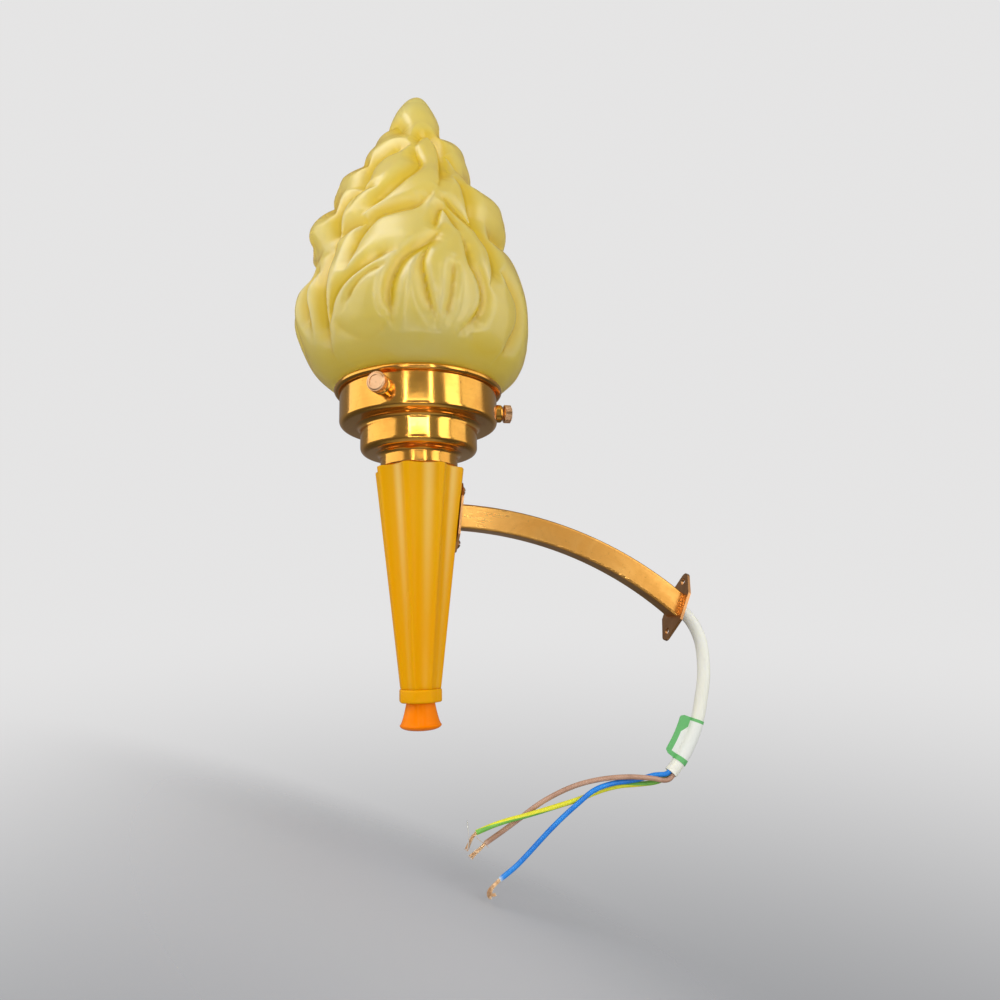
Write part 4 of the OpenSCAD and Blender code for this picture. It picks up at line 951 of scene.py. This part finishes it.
def collar(material):
    """Octagonal collar with rounded edges."""
    azimuth = np.radians(np.arange(0, 360, 1.5))
    r = np.full(len(azimuth), 10.9)
    for k in range(8):
        r = soft_min(r, 10.3 / np.maximum(np.cos(from_side(azimuth, k)), 0.2), 0.5)
    levels = np.array([0, 0.15, 0.4, 0.8, 1.2, 3, 5.4, 5.9, 6.2, 6.4])
    insets = (0.9, 0.5, 0.2, 0.04, 0, 0, 0, 0.08, 0.25, 0.5)
    piece = stack("collar_skin", COLLAR_FOOT + levels, [r - i for i in insets], material, "light")
    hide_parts("handle_collar")


def finial(material):
    """Flared finial with a rounded foot and a flat top."""
    height, foot, flat_r, flare_r, neck_r, waist = 13.2, 2.4, 4.0, 10.3, 7.0, 0.35
    section = [[0.01, 0]] + [[flat_r + (flare_r - flat_r) * math.sin(a), foot * (1 - math.cos(a))]
                             for a in np.radians(np.arange(0, 91, 5))]
    section += [[flare_r - (flare_r - neck_r) * s ** (1 - waist), foot + (height - foot) * s]
                for s in np.linspace(0.02, 1, 26)]
    section += [[0.01, height]]
    section = [[r, FINIAL_FOOT + z] for r, z in section]
    piece = lathe("finial_skin", section, material, "light", 160)
    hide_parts("finial")


# --- materials of the CAD nodes ---

materials = {
    "plate_metal": metal("plate_metal", (0.66, 0.33, 0.13), (0.40, 0.18, 0.06), 0.32, rolled,
                         0.2, 0.6),
    "arm_metal": metal("arm_metal", (0.92, 0.48, 0.12), (0.62, 0.28, 0.05), 0.30, along_arm,
                       0.08, 0.6),
    "polished_metal": metal("polished_metal", (0.94, 0.49, 0.09), (0.68, 0.27, 0.04), 0.15,
                            turned, 0.04, 0.4),
    "screw_metal": metal("screw_metal", (0.88, 0.54, 0.30), (0.58, 0.30, 0.13), 0.30, rolled,
                         0.2, 0.6),
    "handle_lacquer": amber("handle_lacquer", (0.74, 0.38, 0.004), (0.80, 0.34, 0.0), -0.13,
                            -0.04, 0.22),
    "finial_lacquer": amber("finial_lacquer", (0.95, 0.26, 0.0), (0.92, 0.19, 0.0), -0.18,
                            -0.15, 0.18),
    "plated_steel": metal("plated_steel", (0.72, 0.72, 0.70), (0.50, 0.50, 0.49), 0.30, turned,
                          0.2, 0.4),
    "holder_black": plastic("holder_black", (0.030, 0.030, 0.033), (0.045, 0.043, 0.043), 0.30,
                            60, 0.1, 0.2),
    "contact_brass": metal("contact_brass", (0.80, 0.60, 0.26), (0.60, 0.42, 0.16), 0.28,
                           turned, 0.15, 0.4),
    "insulator_white": plastic("insulator_white", (0.80, 0.78, 0.72), (0.68, 0.66, 0.60), 0.55,
                               90, 0.3),
    "sheath_cream": sheath_cream, "core_brown": core_brown, "core_blue": core_blue,
    "core_earth": core_earth, "bare_copper": bare_copper,
}
handle(materials["handle_lacquer"])
collar(materials["handle_lacquer"])
finial(materials["finial_lacquer"])
for node, section in (("gallery", gallery_section()),
                      ("step_cup", spun_section(30.4, STEP_FOOT, GALLERY_FOOT, 3.5)),
                      ("neck_ring", spun_section(20.0, HANDLE_TOP, STEP_FOOT, 1.5))):
    spun = lathe(node + "_skin", section, materials["polished_metal"], "light")
    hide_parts(node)

slots = {part["node"]: part["material_slot"] for part in frame["record"]["subparts"]}
for node, piece in frame["nodes"].items():
    if piece.hide_render:
        continue
    key = "finial_lacquer" if node == "finial" else slots[node]
    material = materials[key]
    if not piece.data.materials:
        piece.data.materials.append(material)
    for slot in piece.material_slots:
        slot.material = material

# --- floor, world and lamps ---


def floor():
    """A round pale floor under the lowest strand; its rim fades out."""
    centre_y, level, wide, rings, count = -0.07, -0.1705, 0.35, 16, 64
    n = Surface("floor")
    place = n.place()
    x, y, z = n.split(place)
    x = n.math("MULTIPLY_ADD", n.math("MINIMUM", x, 0.0), 1.4, x)
    y = n.math("MULTIPLY", n.math("SUBTRACT", y, centre_y), 1.5)
    n.set(Base_Color=n.mix(n.noise(place, 9, 3), (0.52, 0.52, 0.53), (0.50, 0.50, 0.51)),
          Roughness=0.85)
    clear = n.add("ShaderNodeBsdfTransparent")
    n.show(n.spread(n.radius(x, y), 0.03, 0.34), n.shader.outputs[0], clear.outputs[0])
    c, s = circle(count)
    points = [(0, centre_y, level)]
    for i in range(1, rings + 1):
        r = wide * i / rings
        points += np.stack([r * c, r * s + centre_y, np.full(count, level)], -1).tolist()
    faces = [(0, 1 + k, 1 + (k + 1) % count) for k in range(count)]
    for i in range(rings - 1):
        faces += band(1 + (i + 1) * count, 1 + i * count, count)
    data = bpy.data.meshes.new("floor")
    data.from_pydata(points, [], faces)
    data.materials.append(n.material)
    piece = bpy.data.objects.new("floor", data)
    bpy.context.scene.collection.objects.link(piece)
    piece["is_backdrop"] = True


def world():
    """Plain light all round; the camera and the glass see a pale backdrop that darkens downwards,
    and gloss sees the same backdrop dimmed, as from a spot close to it."""
    studio = bpy.data.worlds.new("studio")
    bpy.context.scene.world = studio
    n = Nodes(studio, "ShaderNodeOutputWorld")
    ambient, backdrop = n.add("ShaderNodeBackground"), n.add("ShaderNodeBackground")
    ambient.inputs["Color"].default_value = (0.93, 0.95, 1.0, 1)
    ambient.inputs["Strength"].default_value = 0.35
    height = n.add("ShaderNodeVectorMath", operation="DOT_PRODUCT")
    height.inputs[1].default_value = tuple(UP)
    n.link(n.add("ShaderNodeTexCoord").outputs["Generated"], height.inputs[0])
    ramp = n.add("ShaderNodeValToRGB")
    ramp.color_ramp.interpolation = "EASE"
    low, high = ramp.color_ramp.elements
    low.position, low.color = 0.19, (0.33, 0.333, 0.345, 1)
    high.position, high.color = 0.42, (0.785, 0.78, 0.78, 1)
    n.link(n.math("MULTIPLY_ADD", height.outputs["Value"], 0.5, 0.5), ramp.inputs[0])
    n.link(ramp.outputs[0], backdrop.inputs["Color"])
    ray = n.add("ShaderNodeLightPath").outputs
    n.link(n.math("MULTIPLY_ADD", ray["Is Glossy Ray"], -0.72, 1.0), backdrop.inputs["Strength"])
    seen = n.math("MAXIMUM", ray["Is Camera Ray"], ray["Is Glossy Ray"])
    seen = n.math("MAXIMUM", seen, ray["Is Transmission Ray"])
    n.show(seen, ambient.outputs[0], backdrop.outputs[0])


CENTRE = Vector(TORCH_AT)


def lamp(name, spot, wide, high, radiance):
    """Area lamp at a spot, facing the gallery, its upper edge level with the camera's."""
    data = bpy.data.lights.new(name, "AREA")
    data.shape = "RECTANGLE"
    data.size, data.size_y = wide, high
    data.energy = radiance * math.pi * wide * high
    piece = bpy.data.objects.new(name, data)
    bpy.context.scene.collection.objects.link(piece)
    direction = (spot - CENTRE).normalized()
    right = UP.cross(direction).normalized()
    piece.matrix_world = facing(spot, right, direction.cross(right).normalized(), direction)


def around(turn, rise, distance):
    """Spot at an angle to the right of the camera, as the gallery sees it, and one upwards."""
    turn, rise = math.radians(turn), math.radians(rise)
    return CENTRE + distance * (math.cos(rise) * (math.sin(turn) * RIGHT - math.cos(turn) * VIEW)
                                + math.sin(rise) * UP)


floor()
world()
lamp("left_wall", around(-76, 18, 0.75), 1.0, 0.9, 1.15)
lamp("right_wall", around(56, 15, 0.75), 0.28, 0.9, 2.2)
lamp("above", around(-62, 60, 0.8), 0.6, 0.5, 3.0)
lamp("right_wall_far", around(90, 15, 0.75), 0.5, 0.9, 0.9)
# A frame of four bars round the camera, which shows in the metal
for name, x, y, wide, high in (("frame_left", -0.125, 0.165, 0.008, 0.57),
                               ("frame_right", 0.125, 0.165, 0.008, 0.57),
                               ("frame_top", 0.0, 0.19, 0.25, 0.008),
                               ("frame_foot", 0.0, -0.12, 0.25, 0.008)):
    lamp(name, camera.matrix_world.translation + RIGHT * x + UP * y - VIEW * 0.01, wide, high,
         18.0)

low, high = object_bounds()
